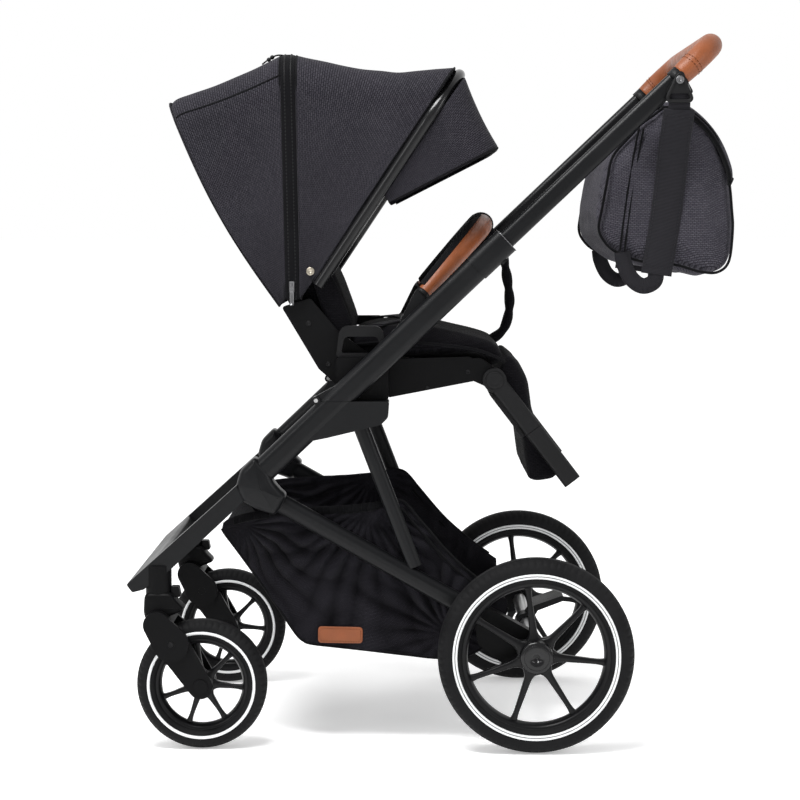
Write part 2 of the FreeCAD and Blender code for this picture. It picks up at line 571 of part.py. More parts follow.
def backrest():
    def at(along, out=0.0):
        return step(BACK_BASE, BACK_ANGLE, along, -out)

    low, high = BACK_PLATE_Y
    board = plate([at(12), at(380, 0), at(380, 13), at(12, 13)], -low, low)
    side = plate([(-193, 665, 4), (-149, 678, 6), (-107, 628), (-58, 592, 12), (-45, 561, 14),
                  (-62, 536, 14), (-100, 538, 12), (-137, 571, 8)], low, high)
    side = side.cut(disc(SEAT_HUB, 10.0 + RUNNING, low - 1, high + 1))
    rail = plate([at(90), at(378), at(378, 16), at(90, 16)], low - 6, low)
    nodes["backrest_frame"] = board.fuse([side, flip(side, True), rail, flip(rail, True)]).removeSplitter()
    nodes["backrest_pad"] = plate([(*at(26, 17), 5), (*at(26, 48), 12), (*at(120, 52), 60),
                                   (*at(300, 46), 60), (*at(374, 40), 14), (*at(374, 17), 5)], -174, 174)
    strap = plate([at(70, 53.5), at(300, 50), at(300, 54), at(70, 57.5)], 36, 70)
    nodes["shoulder_straps"] = pair(strap)


def canopy():
    side_gap = ARC_RADIUS + 0.8
    rib_gap = 5.5
    nodes["canopy_rear"] = hood(REAR_RIB, 0.0, MID_RIB, rib_gap, closed_by=CANOPY_WALL)
    nodes["canopy_front"] = hood(MID_RIB, -rib_gap, FRONT_ARC, side_gap)
    base, angle, length = MID_RIB
    nodes["canopy_mid_rib"] = hoop(base, angle, length - 4.5, CANOPY_HALF - 4.5, CANOPY_CORNER - 4.5, 4.0)
    base, angle, length = FRONT_ARC
    nodes["canopy_arc"] = hoop(base, angle, length, CANOPY_HALF, CANOPY_CORNER, ARC_RADIUS)
    start = 168.0
    visor_root = (step(base, angle, start), angle, length - start)
    nodes["canopy_visor"] = hood(visor_root, -side_gap, VISOR_EDGE, 0.0)


def zip_pull():
    """A short cord with a bead that pulls the canopy's zip, lying on the canopy's top."""
    route = [Vector(-184, -104, 1046), Vector(-197, -106, 1051), Vector(-213, -109, 1045.5),
             Vector(-226, -107, 1035)]
    radius = 1.2
    edges = []
    last = route[0]
    for before, here, after in zip(route, route[1:], route[2:]):
        back, ahead = (before - here), (after - here)
        reach = 0.45 * min(back.Length, ahead.Length)
        half = back.getAngle(ahead) / 2
        bend_radius = reach * math.tan(half)
        print(f"zip cord bend radius {bend_radius:.1f} mm")
        middle = (back.normalize() + ahead.normalize()).normalize()
        crest = here + middle * (bend_radius / math.sin(half) - bend_radius)
        first, final = here + back * reach, here + ahead * reach
        edges += [Part.LineSegment(last, first).toShape(), Part.Arc(first, crest, final).toShape()]
        last = final
    edges.append(Part.LineSegment(last, route[-1]).toShape())
    path = Part.Wire(edges)
    profile = Part.Wire(Part.makeCircle(radius, route[0], route[1] - route[0]))
    nodes["zip_cord"] = path.makePipeShell([profile], True, False)
    print(f"zip cord volume {nodes['zip_cord'].Volume:.1f}, section x length "
          f"{math.pi * radius ** 2 * path.Length:.1f} mm3")
    nodes["zip_bead"] = Part.makeSphere(3.6, Vector(-213, -109, 1044.5))


# ---------------------------------------------------------------- build and save

def main():
    wheels()
    chassis()
    basket()
    upper_frame()
    bag()
    seat()
    leg_rest()
    bumper()
    backrest()
    canopy()
    zip_pull()
    os.makedirs("parts", exist_ok=True)
    whole = FreeCAD.BoundBox()
    for name, shape in sorted(nodes.items()):
        shape.translate(Vector(LAYOUT_TO_MIDDLE, 0, 0))
        whole.add(shape.BoundBox)
        if not shape.isValid() or any(not solid.isClosed() for solid in shape.Solids) or not shape.Solids:
            print("check", name, shape.isValid(), len(shape.Solids))
        shape.exportStep(f"parts/{name}.step")
    print(f"{len(nodes)} nodes, X {whole.XMin:.2f} to {whole.XMax:.2f}, Y {whole.YMin:.2f} to "
          f"{whole.YMax:.2f}, Z {whole.ZMin:.2f} to {whole.ZMax:.2f}")


main()
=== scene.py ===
"""Looks of the baby stroller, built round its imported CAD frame. Metres, +Z up, travel towards -X, left is -Y.
Outlines are in the layout's millimetres, as (x, z) in the side view, and at() brings them into the frame."""

import math

import bmesh
import bpy
import numpy as np
from mathutils import Matrix, Vector, noise


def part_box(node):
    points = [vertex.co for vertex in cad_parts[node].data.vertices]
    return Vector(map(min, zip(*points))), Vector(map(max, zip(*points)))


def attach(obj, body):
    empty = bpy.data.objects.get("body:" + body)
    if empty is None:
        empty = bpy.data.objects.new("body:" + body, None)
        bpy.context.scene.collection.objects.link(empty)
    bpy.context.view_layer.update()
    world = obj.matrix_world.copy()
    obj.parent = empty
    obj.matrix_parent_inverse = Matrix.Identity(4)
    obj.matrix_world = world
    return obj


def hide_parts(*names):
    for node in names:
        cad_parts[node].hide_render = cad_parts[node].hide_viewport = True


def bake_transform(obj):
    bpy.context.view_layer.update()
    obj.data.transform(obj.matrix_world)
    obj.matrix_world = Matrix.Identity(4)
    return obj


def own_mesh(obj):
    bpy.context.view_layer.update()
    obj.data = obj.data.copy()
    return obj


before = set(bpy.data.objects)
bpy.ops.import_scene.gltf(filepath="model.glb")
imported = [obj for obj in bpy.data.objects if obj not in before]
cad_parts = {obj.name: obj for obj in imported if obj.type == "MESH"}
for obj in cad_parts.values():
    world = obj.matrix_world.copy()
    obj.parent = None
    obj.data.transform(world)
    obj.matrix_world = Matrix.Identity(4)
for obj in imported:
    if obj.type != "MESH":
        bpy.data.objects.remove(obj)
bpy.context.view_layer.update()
SCENE = bpy.context.scene
SIDES = (("left", -1), ("right", 1))
UP = Vector((0, 0, 1))
ACROSS = Vector((0, 1, 0))

REAR_WHEEL_X = 190.0            # in the layout; the frame says where that lies
SHIFT = sum(c.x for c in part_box("rear_tyre_left")) / 2 - REAR_WHEEL_X / 1000


def at(x, z, y=0.0):
    return Vector((x / 1000 + SHIFT, y / 1000, z / 1000))


# ---------------------------------------------------------------- camera and light

def camera():
    """The photograph's view: from the left, at the height of the seat, looking a little down."""
    tilt, turn = math.radians(4.49), math.radians(0.24)
    data = bpy.data.cameras.new("camera")
    data.lens = 96.3
    data.clip_end = 500
    cam = bpy.data.objects.new("camera", data)
    cam.location = at(0, 778, -3430)
    cam.rotation_euler = (math.pi / 2 - tilt, 0, turn)
    SCENE.collection.objects.link(cam)
    SCENE.camera = cam


def area(name, place, target, size, power):
    """A rectangular lamp that looks at its target."""
    data = bpy.data.lights.new(name, "AREA")
    data.shape = "RECTANGLE"
    data.size, data.size_y = size
    data.energy = power
    lamp = bpy.data.objects.new(name, data)
    lamp.location = place
    lamp.rotation_euler = (Vector(target) - Vector(place)).to_track_quat("-Z", "Y").to_euler()
    SCENE.collection.objects.link(lamp)


def studio():
    """A white room with soft lamps and a pale floor."""
    SCENE.view_settings.view_transform = "Standard"
    world = bpy.data.worlds.new("studio")
    world.use_nodes = True
    world.node_tree.nodes["Background"].inputs["Color"].default_value = (1, 1, 1, 1)
    nodes, links = world.node_tree.nodes, world.node_tree.links
    way = nodes.new("ShaderNodeSeparateXYZ")
    links.new(nodes.new("ShaderNodeTexCoord").outputs["Generated"], way.inputs[0])
    falloff = nodes.new("ShaderNodeMapRange")
    falloff.interpolation_type = "SMOOTHSTEP"
    for socket, value in (("From Min", -0.25), ("From Max", 0.4), ("To Min", 0.5), ("To Max", 1.0)):
        falloff.inputs[socket].default_value = value
    links.new(way.outputs["Y"], falloff.inputs["Value"])
    links.new(falloff.outputs[0], nodes["Background"].inputs["Strength"])
    SCENE.world = world
    middle = (0, 0, 0.5)
    area("overhead", (-0.7, -1.0, 2.7), middle, (1.6, 0.6), 80)
    area("left_box", (-2.1, -2.0, 1.9), middle, (0.4, 1.6), 15)
    area("right_box", (2.3, -1.7, 1.5), middle, (0.4, 1.5), 14)
    floor_mesh = bpy.data.meshes.new("floor")
    reach = 200
    corners = [(-reach, -reach, 0), (reach, -reach, 0), (reach, reach, 0), (-reach, reach, 0)]
    floor_mesh.from_pydata(corners, [], [(0, 1, 2, 3)])
    floor = bpy.data.objects.new("floor", floor_mesh)
    paper = bpy.data.materials.new("paper")
    paper.use_nodes = True
    white = (1, 1, 1, 1)
    for socket, value in (("Base Color", white), ("Roughness", 1.0), ("Specular IOR Level", 0.0),
                          ("Emission Color", white), ("Emission Strength", 0.32)):
        paper.node_tree.nodes["Principled BSDF"].inputs[socket].default_value = value
    floor_mesh.materials.append(paper)
    SCENE.collection.objects.link(floor)


camera()


# ---------------------------------------------------------------- materials

class Finish:
    """A node material under construction."""

    def __init__(self, name, colour, roughness, metallic=0.0, **sockets):
        self.material = bpy.data.materials.new(name)
        self.material.use_nodes = True
        self.tree = self.material.node_tree
        self.shader = self.tree.nodes["Principled BSDF"]
        self.shader.inputs["Base Color"].default_value = (*colour, 1)
        self.shader.inputs["Roughness"].default_value = roughness
        self.shader.inputs["Metallic"].default_value = metallic
        for socket, value in sockets.items():
            self.shader.inputs[socket.replace("_", " ")].default_value = value

    def node(self, kind, inputs=(), **settings):
        node = self.tree.nodes.new(kind)
        for key, value in settings.items():
            setattr(node, key, value)
        for key, value in dict(inputs).items():
            if isinstance(value, bpy.types.NodeSocket):
                self.tree.links.new(value, node.inputs[key])
            else:
                node.inputs[key].default_value = value
        return node

    def math(self, operation, a, b=0.0):
        return self.node("ShaderNodeMath", {0: a, 1: b}, operation=operation).outputs[0]

    def place(self, by_uv):
        """The texture coordinate: cloth UVs in metres, or the frame's own axes folded onto two."""
        coordinates = self.node("ShaderNodeTexCoord")
        if by_uv:
            return coordinates.outputs["UV"]
        split = self.node("ShaderNodeSeparateXYZ", {0: coordinates.outputs["Object"]}).outputs
        across = self.math("MULTIPLY_ADD", split[1], 0.35)
        across.node.inputs[2].default_value = 0.0
        self.tree.links.new(split[0], across.node.inputs[2])
        rise = self.math("MULTIPLY_ADD", split[1], 0.8)
        self.tree.links.new(split[2], rise.node.inputs[2])
        return self.node("ShaderNodeCombineXYZ", {0: across, 1: rise, 2: 0.0}).outputs[0]

    def solid_place(self):
        return self.node("ShaderNodeTexCoord").outputs["Object"]

    def noise(self, vector, scale, detail=2.0):
        return self.node("ShaderNodeTexNoise", {"Vector": vector, "Scale": scale, "Detail": detail}).outputs[0]

    def spread(self, value, low, high, floor=0.3, ceiling=0.7):
        return self.node("ShaderNodeMapRange", {"Value": value, "From Min": floor, "From Max": ceiling,
                                                "To Min": low, "To Max": high}).outputs[0]

    def tint(self, factor, first, second):
        mix = self.node("ShaderNodeMix", data_type="RGBA")
        self.tree.links.new(factor, mix.inputs["Factor"])
        mix.inputs[6].default_value = (*first, 1)
        mix.inputs[7].default_value = (*second, 1)
        return mix.outputs[2]

    def multiply(self, colour, value):
        mix = self.node("ShaderNodeMix", data_type="RGBA", blend_type="MULTIPLY")
        mix.inputs["Factor"].default_value = 1.0
        self.tree.links.new(colour, mix.inputs[6])
        self.tree.links.new(value, mix.inputs[7])
        return mix.outputs[2]

    def use(self, socket, value):
        self.tree.links.new(value, self.shader.inputs[socket])

    def vary(self, value, colour, low, high):
        """The colour, made darker and lighter by a noise."""
        return self.tint(self.spread(value, 0.0, 1.0), shade(colour, low), shade(colour, high))

    def bump(self, height, depth, strength=1.0):
        node = self.node("ShaderNodeBump", {"Height": height, "Distance": depth, "Strength": strength})
        self.use("Normal", node.outputs[0])


def shade(colour, factor):
    return tuple(c * factor for c in colour)


def weave(finish, vector, brick_size, gap, second, mortar, smooth=0.8):
    """Rows of staggered yarns: bricks of two greys with darker gaps between them."""
    width, height = brick_size
    return finish.node("ShaderNodeTexBrick", {
        "Vector": vector, "Scale": 1.0, "Mortar Size": gap, "Mortar Smooth": smooth, "Brick Width": width,
        "Row Height": height, "Color1": (1, 1, 1, 1), "Color2": (*second, 1), "Mortar": (*mortar, 1)})


def ribbed_fabric(name, colour, by_uv=True, dash=0.0062, rib=0.0026, fold_shaded=False):
    """Staggered woven dashes in rows, with lighter and darker yarns. With the fold flag set, painted shade darkens
    the cloth in its fold valleys and painted light brightens its fold ridges, read from the mesh's crease attribute.
    """
    finish = Finish(name, colour, 0.82, Sheen_Weight=0.04, Sheen_Roughness=0.45, Specular_IOR_Level=0.02)
    vector = finish.place(by_uv)
    brick = weave(finish, vector, (dash, rib), 0.0007, (0.72, 0.72, 0.75), (0.3, 0.3, 0.32))
    yarn = finish.noise(vector, 800.0, 3.0)
    base = finish.tint(finish.spread(yarn, 0.0, 1.0, 0.35, 0.65), shade(colour, 0.72), shade(colour, 1.5))
    cloud = finish.vary(finish.noise(finish.solid_place(), 7.0), (1.0,) * 3, 0.88, 1.1)
    woven = finish.multiply(finish.multiply(base, brick.outputs["Color"]), cloud)
    if fold_shaded:
        # Painted light and shade: the crease attribute makes fold ridges paler and fold valleys darker.
        painted_fold_shade = finish.spread(finish.node("ShaderNodeAttribute", attribute_name="crease").outputs["Fac"], 0.0, 1.0,
                               -0.6, 0.6)
        woven = finish.multiply(woven, finish.tint(painted_fold_shade, (0.55,) * 3, (1.65,) * 3))
    finish.use("Base Color", woven)
    height = finish.math("SUBTRACT", 1.0, brick.outputs["Fac"])
    finish.bump(finish.math("ADD", height, finish.math("MULTIPLY", yarn, 0.5)), 0.0006, 0.8)
    return finish.material


def plain_fabric(name, colour, by_uv=True):
    """A tight plain weave, as of tape and thread."""
    thread = 0.0011
    finish = Finish(name, colour, 0.78, Sheen_Weight=0.03, Sheen_Roughness=0.5, Specular_IOR_Level=0.04)
    vector = finish.place(by_uv)
    brick = weave(finish, vector, (thread * 2.4, thread), thread * 0.2, (0.82, 0.82, 0.84), (0.4, 0.4, 0.4), 0.7)
    cloud = finish.vary(finish.noise(finish.solid_place(), 11.0), colour, 0.85, 1.15)
    finish.use("Base Color", finish.multiply(cloud, brick.outputs["Color"]))
    finish.bump(finish.math("SUBTRACT", 1.0, brick.outputs["Fac"]), 0.0004, 0.7)
    return finish.material


def webbing(name, colour):
    """Narrow woven strap with a rib across its width. U runs along the strap."""
    finish = Finish(name, colour, 0.7, Sheen_Weight=0.03, Specular_IOR_Level=0.04)
    vector = finish.place(True)
    wave = finish.node("ShaderNodeTexWave", {"Vector": vector, "Scale": 150.0, "Distortion": 0.4, "Detail": 2.0},
                       bands_direction="X")
    ribs = wave.outputs["Fac"]
    finish.use("Base Color", finish.tint(ribs, shade(colour, 0.7), shade(colour, 1.35)))
    finish.bump(ribs, 0.0005, 0.8)
    return finish.material


def leather(name, colour):
    """Grained leatherette."""
    finish = Finish(name, colour, 0.45, Specular_IOR_Level=0.3, Coat_Weight=0.06, Coat_Roughness=0.35)
    vector = finish.solid_place()
    grain = finish.node("ShaderNodeTexVoronoi", {"Vector": vector, "Scale": 620.0}, feature="SMOOTH_F1").outputs[0]
    patch = finish.noise(vector, 26.0, 4.0)
    fine = finish.noise(vector, 900.0, 2.0)
    finish.use("Base Color", finish.vary(patch, colour, 0.8, 1.12))
    finish.use("Roughness", finish.spread(finish.noise(vector, 60.0), 0.36, 0.55))
    finish.bump(finish.math("ADD", grain, finish.math("MULTIPLY", fine, 0.4)), 0.0005, 0.55)
    return finish.material


def paint(name, colour, roughness, grit=0.00012, metallic=0.0, gloss=0.16):
    """Powder-coated tube or moulded plastic: a fine skin and uneven gloss."""
    finish = Finish(name, colour, roughness, metallic, Specular_IOR_Level=gloss)
    vector = finish.solid_place()
    skin = finish.noise(vector, 1400.0, 2.0)
    wear = finish.noise(vector, 9.0, 4.0)
    finish.use("Roughness", finish.spread(wear, roughness - 0.05, roughness + 0.07))
    finish.use("Base Color", finish.vary(wear, colour, 0.9, 1.15))
    finish.bump(skin, grit, 0.6)
    return finish.material


def rubber(name):
    colour = (0.006, 0.006, 0.0065)
    finish = Finish(name, colour, 0.62, Specular_IOR_Level=0.07)
    vector = finish.solid_place()
    dust = finish.noise(vector, 14.0, 5.0)
    finish.use("Base Color", finish.tint(finish.spread(dust, 0.0, 1.0), colour, (0.012, 0.012, 0.0125)))
    finish.use("Roughness", finish.spread(dust, 0.55, 0.75))
    finish.bump(finish.noise(vector, 700.0, 3.0), 0.0002, 0.6)
    return finish.material


def metal(name, colour, roughness):
    finish = Finish(name, colour, roughness, 1.0)
    streak = finish.noise(finish.solid_place(), 300.0, 3.0)
    finish.use("Roughness", finish.spread(streak, roughness, roughness + 0.15))
    finish.bump(streak, 0.00005, 0.4)
    return finish.material


def ring_white(name):
    finish = Finish(name, (0.72, 0.73, 0.73), 0.4)
    sparkle = finish.node("ShaderNodeTexVoronoi", {"Vector": finish.solid_place(), "Scale": 900.0}).outputs[0]
    finish.use("Base Color", finish.tint(sparkle, (0.62, 0.63, 0.64), (0.82, 0.83, 0.83)))
    finish.bump(sparkle, 0.0001, 0.5)
    return finish.material


CHARCOAL = (0.032, 0.0304, 0.0362)
BLACK_CLOTH = (0.006, 0.006, 0.007)
COGNAC = (0.2, 0.056, 0.017)
MATERIALS = {
    "fabric": ribbed_fabric("charcoal_fabric", CHARCOAL),
    "pad_fabric": ribbed_fabric("charcoal_pad_fabric", shade(CHARCOAL, 0.24), by_uv=False),
    "bag_fabric": ribbed_fabric("charcoal_bag_fabric", shade(CHARCOAL, 1.9), by_uv=False),
    # The basket's cloth carries painted light and shade on its folds.
    "basket_fabric": ribbed_fabric("basket_fabric", shade(CHARCOAL, 0.5), dash=0.003, rib=0.0014, fold_shaded=True),
    "tape": plain_fabric("black_tape", BLACK_CLOTH),
    "tape_solid": plain_fabric("black_tape_solid", BLACK_CLOTH, by_uv=False),
    "webbing": webbing("black_webbing", (0.016, 0.0155, 0.018)),
    "leather": leather("cognac_leatherette", COGNAC),
    "thread": plain_fabric("tan_thread", (0.16, 0.045, 0.015), by_uv=False),
    "thread_black": plain_fabric("black_thread", (0.03, 0.03, 0.033), by_uv=False),
    "frame": paint("matte_black_frame", (0.005, 0.0052, 0.0058), 0.33),
    "plastic": paint("black_plastic", (0.0058, 0.0058, 0.0063), 0.46, 0.0003),
    "deep_plastic": paint("deep_black_plastic", (0.0035, 0.0035, 0.0038), 0.4, 0.0003, 0.0, 0.07),
    "rim": paint("satin_black_rim", (0.004, 0.004, 0.0045), 0.3),
    "arc": paint("glossy_black_arc", (0.006, 0.006, 0.0065), 0.2, 0.00003, 0.0, 0.3),
    "rubber": rubber("black_rubber"),
    "ring": ring_white("reflective_ring"),
    "steel": metal("brushed_steel", (0.5, 0.5, 0.5), 0.28),
    "brass": metal("pale_brass", (0.42, 0.38, 0.31), 0.25),
    "gunmetal": metal("gunmetal", (0.16, 0.16, 0.165), 0.32),
}


def both(*names):
    return [f"{name}_{side}" for name in names for side, _ in SIDES]


NODE_FINISH = {
    "frame": both("front_leg", "rear_leg", "upper_tube", "handle_tube") + [
        "struts", "hinge_brackets", "bumper_bar", "elbows", "front_crossbar"],
    "plastic": both("release_loop", "height_button") + [
        "brake_pedal", "leg_rest_frame", "footboard", "bag_hooks", "canopy_mid_rib"],
    "deep_plastic": both("fork_head", "fork_arm", "swivel_lock") + [
        "swivel_housings", "rear_housings", "seat_frame", "seat_adaptors", "backrest_frame"],
    "rim": both("front_rim", "rear_rim"),
    "arc": ["canopy_arc"],
    "steel": ["fold_pins", "rear_axle"],
}
# Moulded parts whose sharp CAD edges show: the width of their bevel, in metres.
BEVELS = {"hinge_brackets": 0.003, "footboard": 0.004, "seat_frame": 0.002, "rear_housings": 0.003,
          "backrest_frame": 0.002}


def finish_cad():
    for finish, names in NODE_FINISH.items():
        for name in names:
            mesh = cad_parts[name].data
            mesh.materials.clear()
            mesh.materials.append(MATERIALS[finish])
    for name, width in BEVELS.items():
        bevel(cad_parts[name], width)


# ---------------------------------------------------------------- mesh building blocks


def make(name, points, faces, finish, body=None, uvs=None):
    """A mesh piece, with its finish's slot. uvs gives each vertex a place on the flat cloth, in metres."""
    mesh = bpy.data.meshes.new(name)
    mesh.from_pydata([tuple(p) for p in points], [], faces)
    if uvs is not None:
        layer = mesh.uv_layers.new(name="cloth")
        for loop in mesh.loops:
            layer.data[loop.index].uv = uvs[loop.vertex_index]
    mesh.polygons.foreach_set("use_smooth", [True] * len(mesh.polygons))
    mesh.materials.append(MATERIALS[finish])
    piece = bpy.data.objects.new(name, mesh)
    SCENE.collection.objects.link(piece)
    if body:
        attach(piece, body)
    return piece


def run_lengths(points):
    """The length along a line up to each of its points."""
    lengths = [0.0]
    for a, b in zip(points, points[1:]):
        lengths.append(lengths[-1] + (b - a).length)
    return lengths


def grid_faces(rows, columns, wrap=False):
    last = columns if wrap else columns - 1
    return [(i * columns + j, i * columns + (j + 1) % columns, (i + 1) * columns + (j + 1) % columns,
             (i + 1) * columns + j) for i in range(rows - 1) for j in range(last)]


def grid_uvs(grid):
    """Flat cloth coordinates of a grid of points: arc length along each direction."""
    rows, columns = len(grid), len(grid[0])
    across = run_lengths(grid[rows // 2])
    down = [0.0]
    for i in range(1, rows):
        step = sum((grid[i][j] - grid[i - 1][j]).length for j in range(columns)) / columns
        down.append(down[-1] + step)
    return [(across[j], down[i]) for i in range(rows) for j in range(columns)]


def solidify(piece, thickness, offset=-1.0):
    modifier = piece.modifiers.new("thickness", "SOLIDIFY")
    modifier.thickness = thickness
    modifier.offset = offset
    return piece


def soften(piece, levels=1):
    modifier = piece.modifiers.new("smooth", "SUBSURF")
    modifier.levels = modifier.render_levels = levels
    return piece


def bevel(piece, width):
    modifier = piece.modifiers.new("edges", "BEVEL")
    modifier.width = width
    modifier.segments = 3
    modifier.limit_method = "ANGLE"
    modifier.angle_limit = math.radians(35)


def sheet_piece(name, grid, finish, body, thickness, offset=-1.0, levels=1):
    points = [p for row in grid for p in row]
    piece = make(name, points, grid_faces(len(grid), len(grid[0])), finish, body, grid_uvs(grid))
    solidify(piece, thickness, offset)
    return soften(piece, levels) if levels else piece


def width(count):
    """Evenly spaced places across a piece, from -1 to 1."""
    return [-1 + 2 * k / (count - 1) for k in range(count)]


def through(places, count):
    """A smooth line through places given as at() takes them."""
    return smooth_line([at(*place) for place in places], count)


def frames_along(points, closed=False):
    """Tangent, and two directions square to it that don't twist, at each point of a line."""
    found = []
    side = None
    count = len(points)
    for i, here in enumerate(points):
        before = points[i - 1] if closed or i else here
        after = points[(i + 1) % count] if closed or i < count - 1 else here
        tangent = (after - before).normalized()
        if side is None:
            side = tangent.orthogonal().normalized()
            if abs(tangent.dot(ACROSS)) < 0.9:
                side = (ACROSS - tangent * tangent.dot(ACROSS)).normalized()
        side = (side - tangent * tangent.dot(side)).normalized()
        found.append((tangent, side, tangent.cross(side)))
    return found


def circle(centre, side, out, radius, count):
    turns = [2 * math.pi * k / count for k in range(count)]
    return [centre + side * (radius * math.cos(a)) + out * (radius * math.sin(a)) for a in turns]


def loft(name, rings, sides, finish, body, uvs=None):
    """Joins rings of points, each with the same number of sides, and closes both ends."""
    last = len(rings) - sides
    caps = [tuple(range(sides)), tuple(last + k for k in reversed(range(sides)))]
    return make(name, rings, grid_faces(len(rings) // sides, sides, wrap=True) + caps, finish, body, uvs)


def tube(name, points, radius, finish, body, sides=10, closed=False, swell=None):
    """A round tube along a line. swell(t) scales its radius from end to end."""
    rings, count = [], len(points)
    for i, (here, (_, side, out)) in enumerate(zip(points, frames_along(points, closed))):
        size = radius * (swell(i / (count - 1)) if swell else 1.0)
        rings += circle(here, side, out, size, sides)
    lengths = run_lengths(points)
    uvs = [(lengths[i], 2 * math.pi * radius * k / sides) for i in range(count) for k in range(sides)]
    if not closed:
        return loft(name, rings, sides, finish, body, uvs)
    seam = [((count - 1) * sides + k, (count - 1) * sides + (k + 1) % sides, (k + 1) % sides, k)
            for k in range(sides)]
    return make(name, rings, grid_faces(count, sides, wrap=True) + seam, finish, body, uvs)


def strap(name, points, width, thickness, finish, body, across=ACROSS):
    """A flat band along a line. across is its width's direction."""
    rings, uvs, count, length = [], [], len(points), 0.0
    for i, here in enumerate(points):
        length += (here - points[i - 1]).length if i else 0.0
        tangent = frames_along(points[max(0, i - 1):i + 2])[min(i, 1)][0]
        wide = (across - tangent * tangent.dot(across)).normalized()
        out = tangent.cross(wide)
        for a, b in ((-0.5, -0.5), (0, -0.56), (0.5, -0.5), (0.54, 0), (0.5, 0.5), (0, 0.56), (-0.5, 0.5),
                     (-0.54, 0)):
            rings.append(here + wide * (width * a * 0.96) + out * (thickness * b))
            uvs.append((length, width * a))
    return loft(name, rings, 8, finish, body, uvs)


def smooth_line(points, count):
    """Evenly spaced points on a Catmull-Rom curve through the given ones."""
    knots = [points[0] * 2 - points[1], *points, points[-1] * 2 - points[-2]]
    steps = 24
    dense = []
    for p0, p1, p2, p3 in zip(knots, knots[1:], knots[2:], knots[3:]):
        for k in range(steps):
            t = k / steps
            dense.append(0.5 * ((2 * p1) + (p2 - p0) * t + (2 * p0 - 5 * p1 + 4 * p2 - p3) * t * t
                                + (3 * p1 - p0 - 3 * p2 + p3) * t ** 3))
    return evenly(dense + [points[-1]], count)


def evenly(points, count, closed=False):
    """The same line as count evenly spaced points. A closed line repeats its first point at its end."""
    lengths = run_lengths(points)
    found, k = [], 0
    last = count if closed else count - 1
    for i in range(count):
        target = lengths[-1] * i / last
        while k < len(points) - 2 and lengths[k + 1] < target:
            k += 1
        share = (target - lengths[k]) / max(lengths[k + 1] - lengths[k], 1e-9)
        found.append(points[k].lerp(points[k + 1], share))
    return found


def rounded(points, radius):
    """A closed outline with each corner replaced by a curve of about this radius."""
    line, steps = [], 6
    for i, here in enumerate(points):
        before, after = points[i - 1], points[(i + 1) % len(points)]
        start = here.lerp(before, min(radius, 0.46 * (before - here).length) / (before - here).length)
        end = here.lerp(after, min(radius, 0.46 * (after - here).length) / (after - here).length)
        for k in range(steps + 1):
            t = k / steps
            line.append(start.lerp(here, t).lerp(here.lerp(end, t), t))
    return line


def soft_block(name, outline, half, finish, body=None, edge=0.016, crown=0.004, around=96, across=28,
               corner=0.012, puff=None, shift=(0, 0, 0)):
    """A stuffed block: a side-view outline carried across Y, rounded at its ends, with crowned faces.
    puff(point) gives each point a further move, and shift moves the whole block."""
    loop = rounded([at(x, z) for x, z in outline], corner)
    loop = evenly(loop + [loop[0]], around, closed=True)
    centre = sum(loop, Vector()) / around
    normals = []
    for i, here in enumerate(loop):
        tangent = (loop[(i + 1) % around] - loop[i - 1]).normalized()
        normals.append(Vector((tangent.z, 0, -tangent.x)))
    if sum((p - centre).dot(n) for p, n in zip(loop, normals)) < 0:
        normals = [-n for n in normals]
    half /= 1000
    points = []
    for j in range(across + 1):
        v = -math.cos(math.pi * j / across)
        inside = max(0.0, abs(v) * half - (half - edge)) / edge
        sink = edge * (1 - math.sqrt(max(0.0, 1 - inside * inside))) * 0.9
        swell = crown * (1 - v * v)
        for here, n in zip(loop, normals):
            points.append(here + n * (swell - sink) + ACROSS * (v * half))
    faces = grid_faces(across + 1, around, wrap=True)
    for end, row in ((-1, 0), (1, across)):
        rim = points[row * around:(row + 1) * around]
        base, rings = row * around, 7
        for r in range(1, rings + 1):
            start = len(points)
            share = r / (rings + 0.6)
            for p in rim:
                bulge = edge * 0.25 * math.sin(math.pi / 2 * share)
                points.append(p.lerp(Vector((centre.x, p.y, centre.z)), share) + ACROSS * (end * bulge))
            quads = [(base + k, base + (k + 1) % around, start + (k + 1) % around, start + k)
                     for k in range(around)]
            faces += quads if end > 0 else [tuple(reversed(q)) for q in quads]
            base = start
        lid = tuple(base + k for k in range(around))
        faces.append(lid if end > 0 else tuple(reversed(lid)))
    if puff:
        points = [puff(p) for p in points]
    piece = make(name, points, faces, finish)
    recalculate(piece)
    piece.data.transform(Matrix.Translation(shift))
    if body:
        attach(piece, body)
    return piece


def edge_ring(outline, half, edge, corner, sign, proud):
    """The line round a soft block's side face where it turns into the edge: where piping is sewn."""
    count = 200
    loop = rounded([at(x, z) for x, z in outline], corner)
    loop = evenly(loop + [loop[0]], count, closed=True)
    centre = sum(loop, Vector()) / count
    line = []
    for i, here in enumerate(loop):
        tangent = (loop[(i + 1) % count] - loop[i - 1]).normalized()
        n = Vector((tangent.z, 0, -tangent.x))
        n = n if (here - centre).dot(n) > 0 else -n
        inside = edge * 0.29 - proud * 0.7
        line.append(here - n * inside + ACROSS * (sign * (half / 1000 - inside)))
    return line


def recalculate(piece):
    """Turns all faces outwards."""
    work = bmesh.new()
    work.from_mesh(piece.data)
    bmesh.ops.recalc_face_normals(work, faces=work.faces)
    work.to_mesh(piece.data)
    work.free()
    return piece


def fan_blend(piece):
    """Bakes a hood cloth's placement into its mesh."""
    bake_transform(piece)


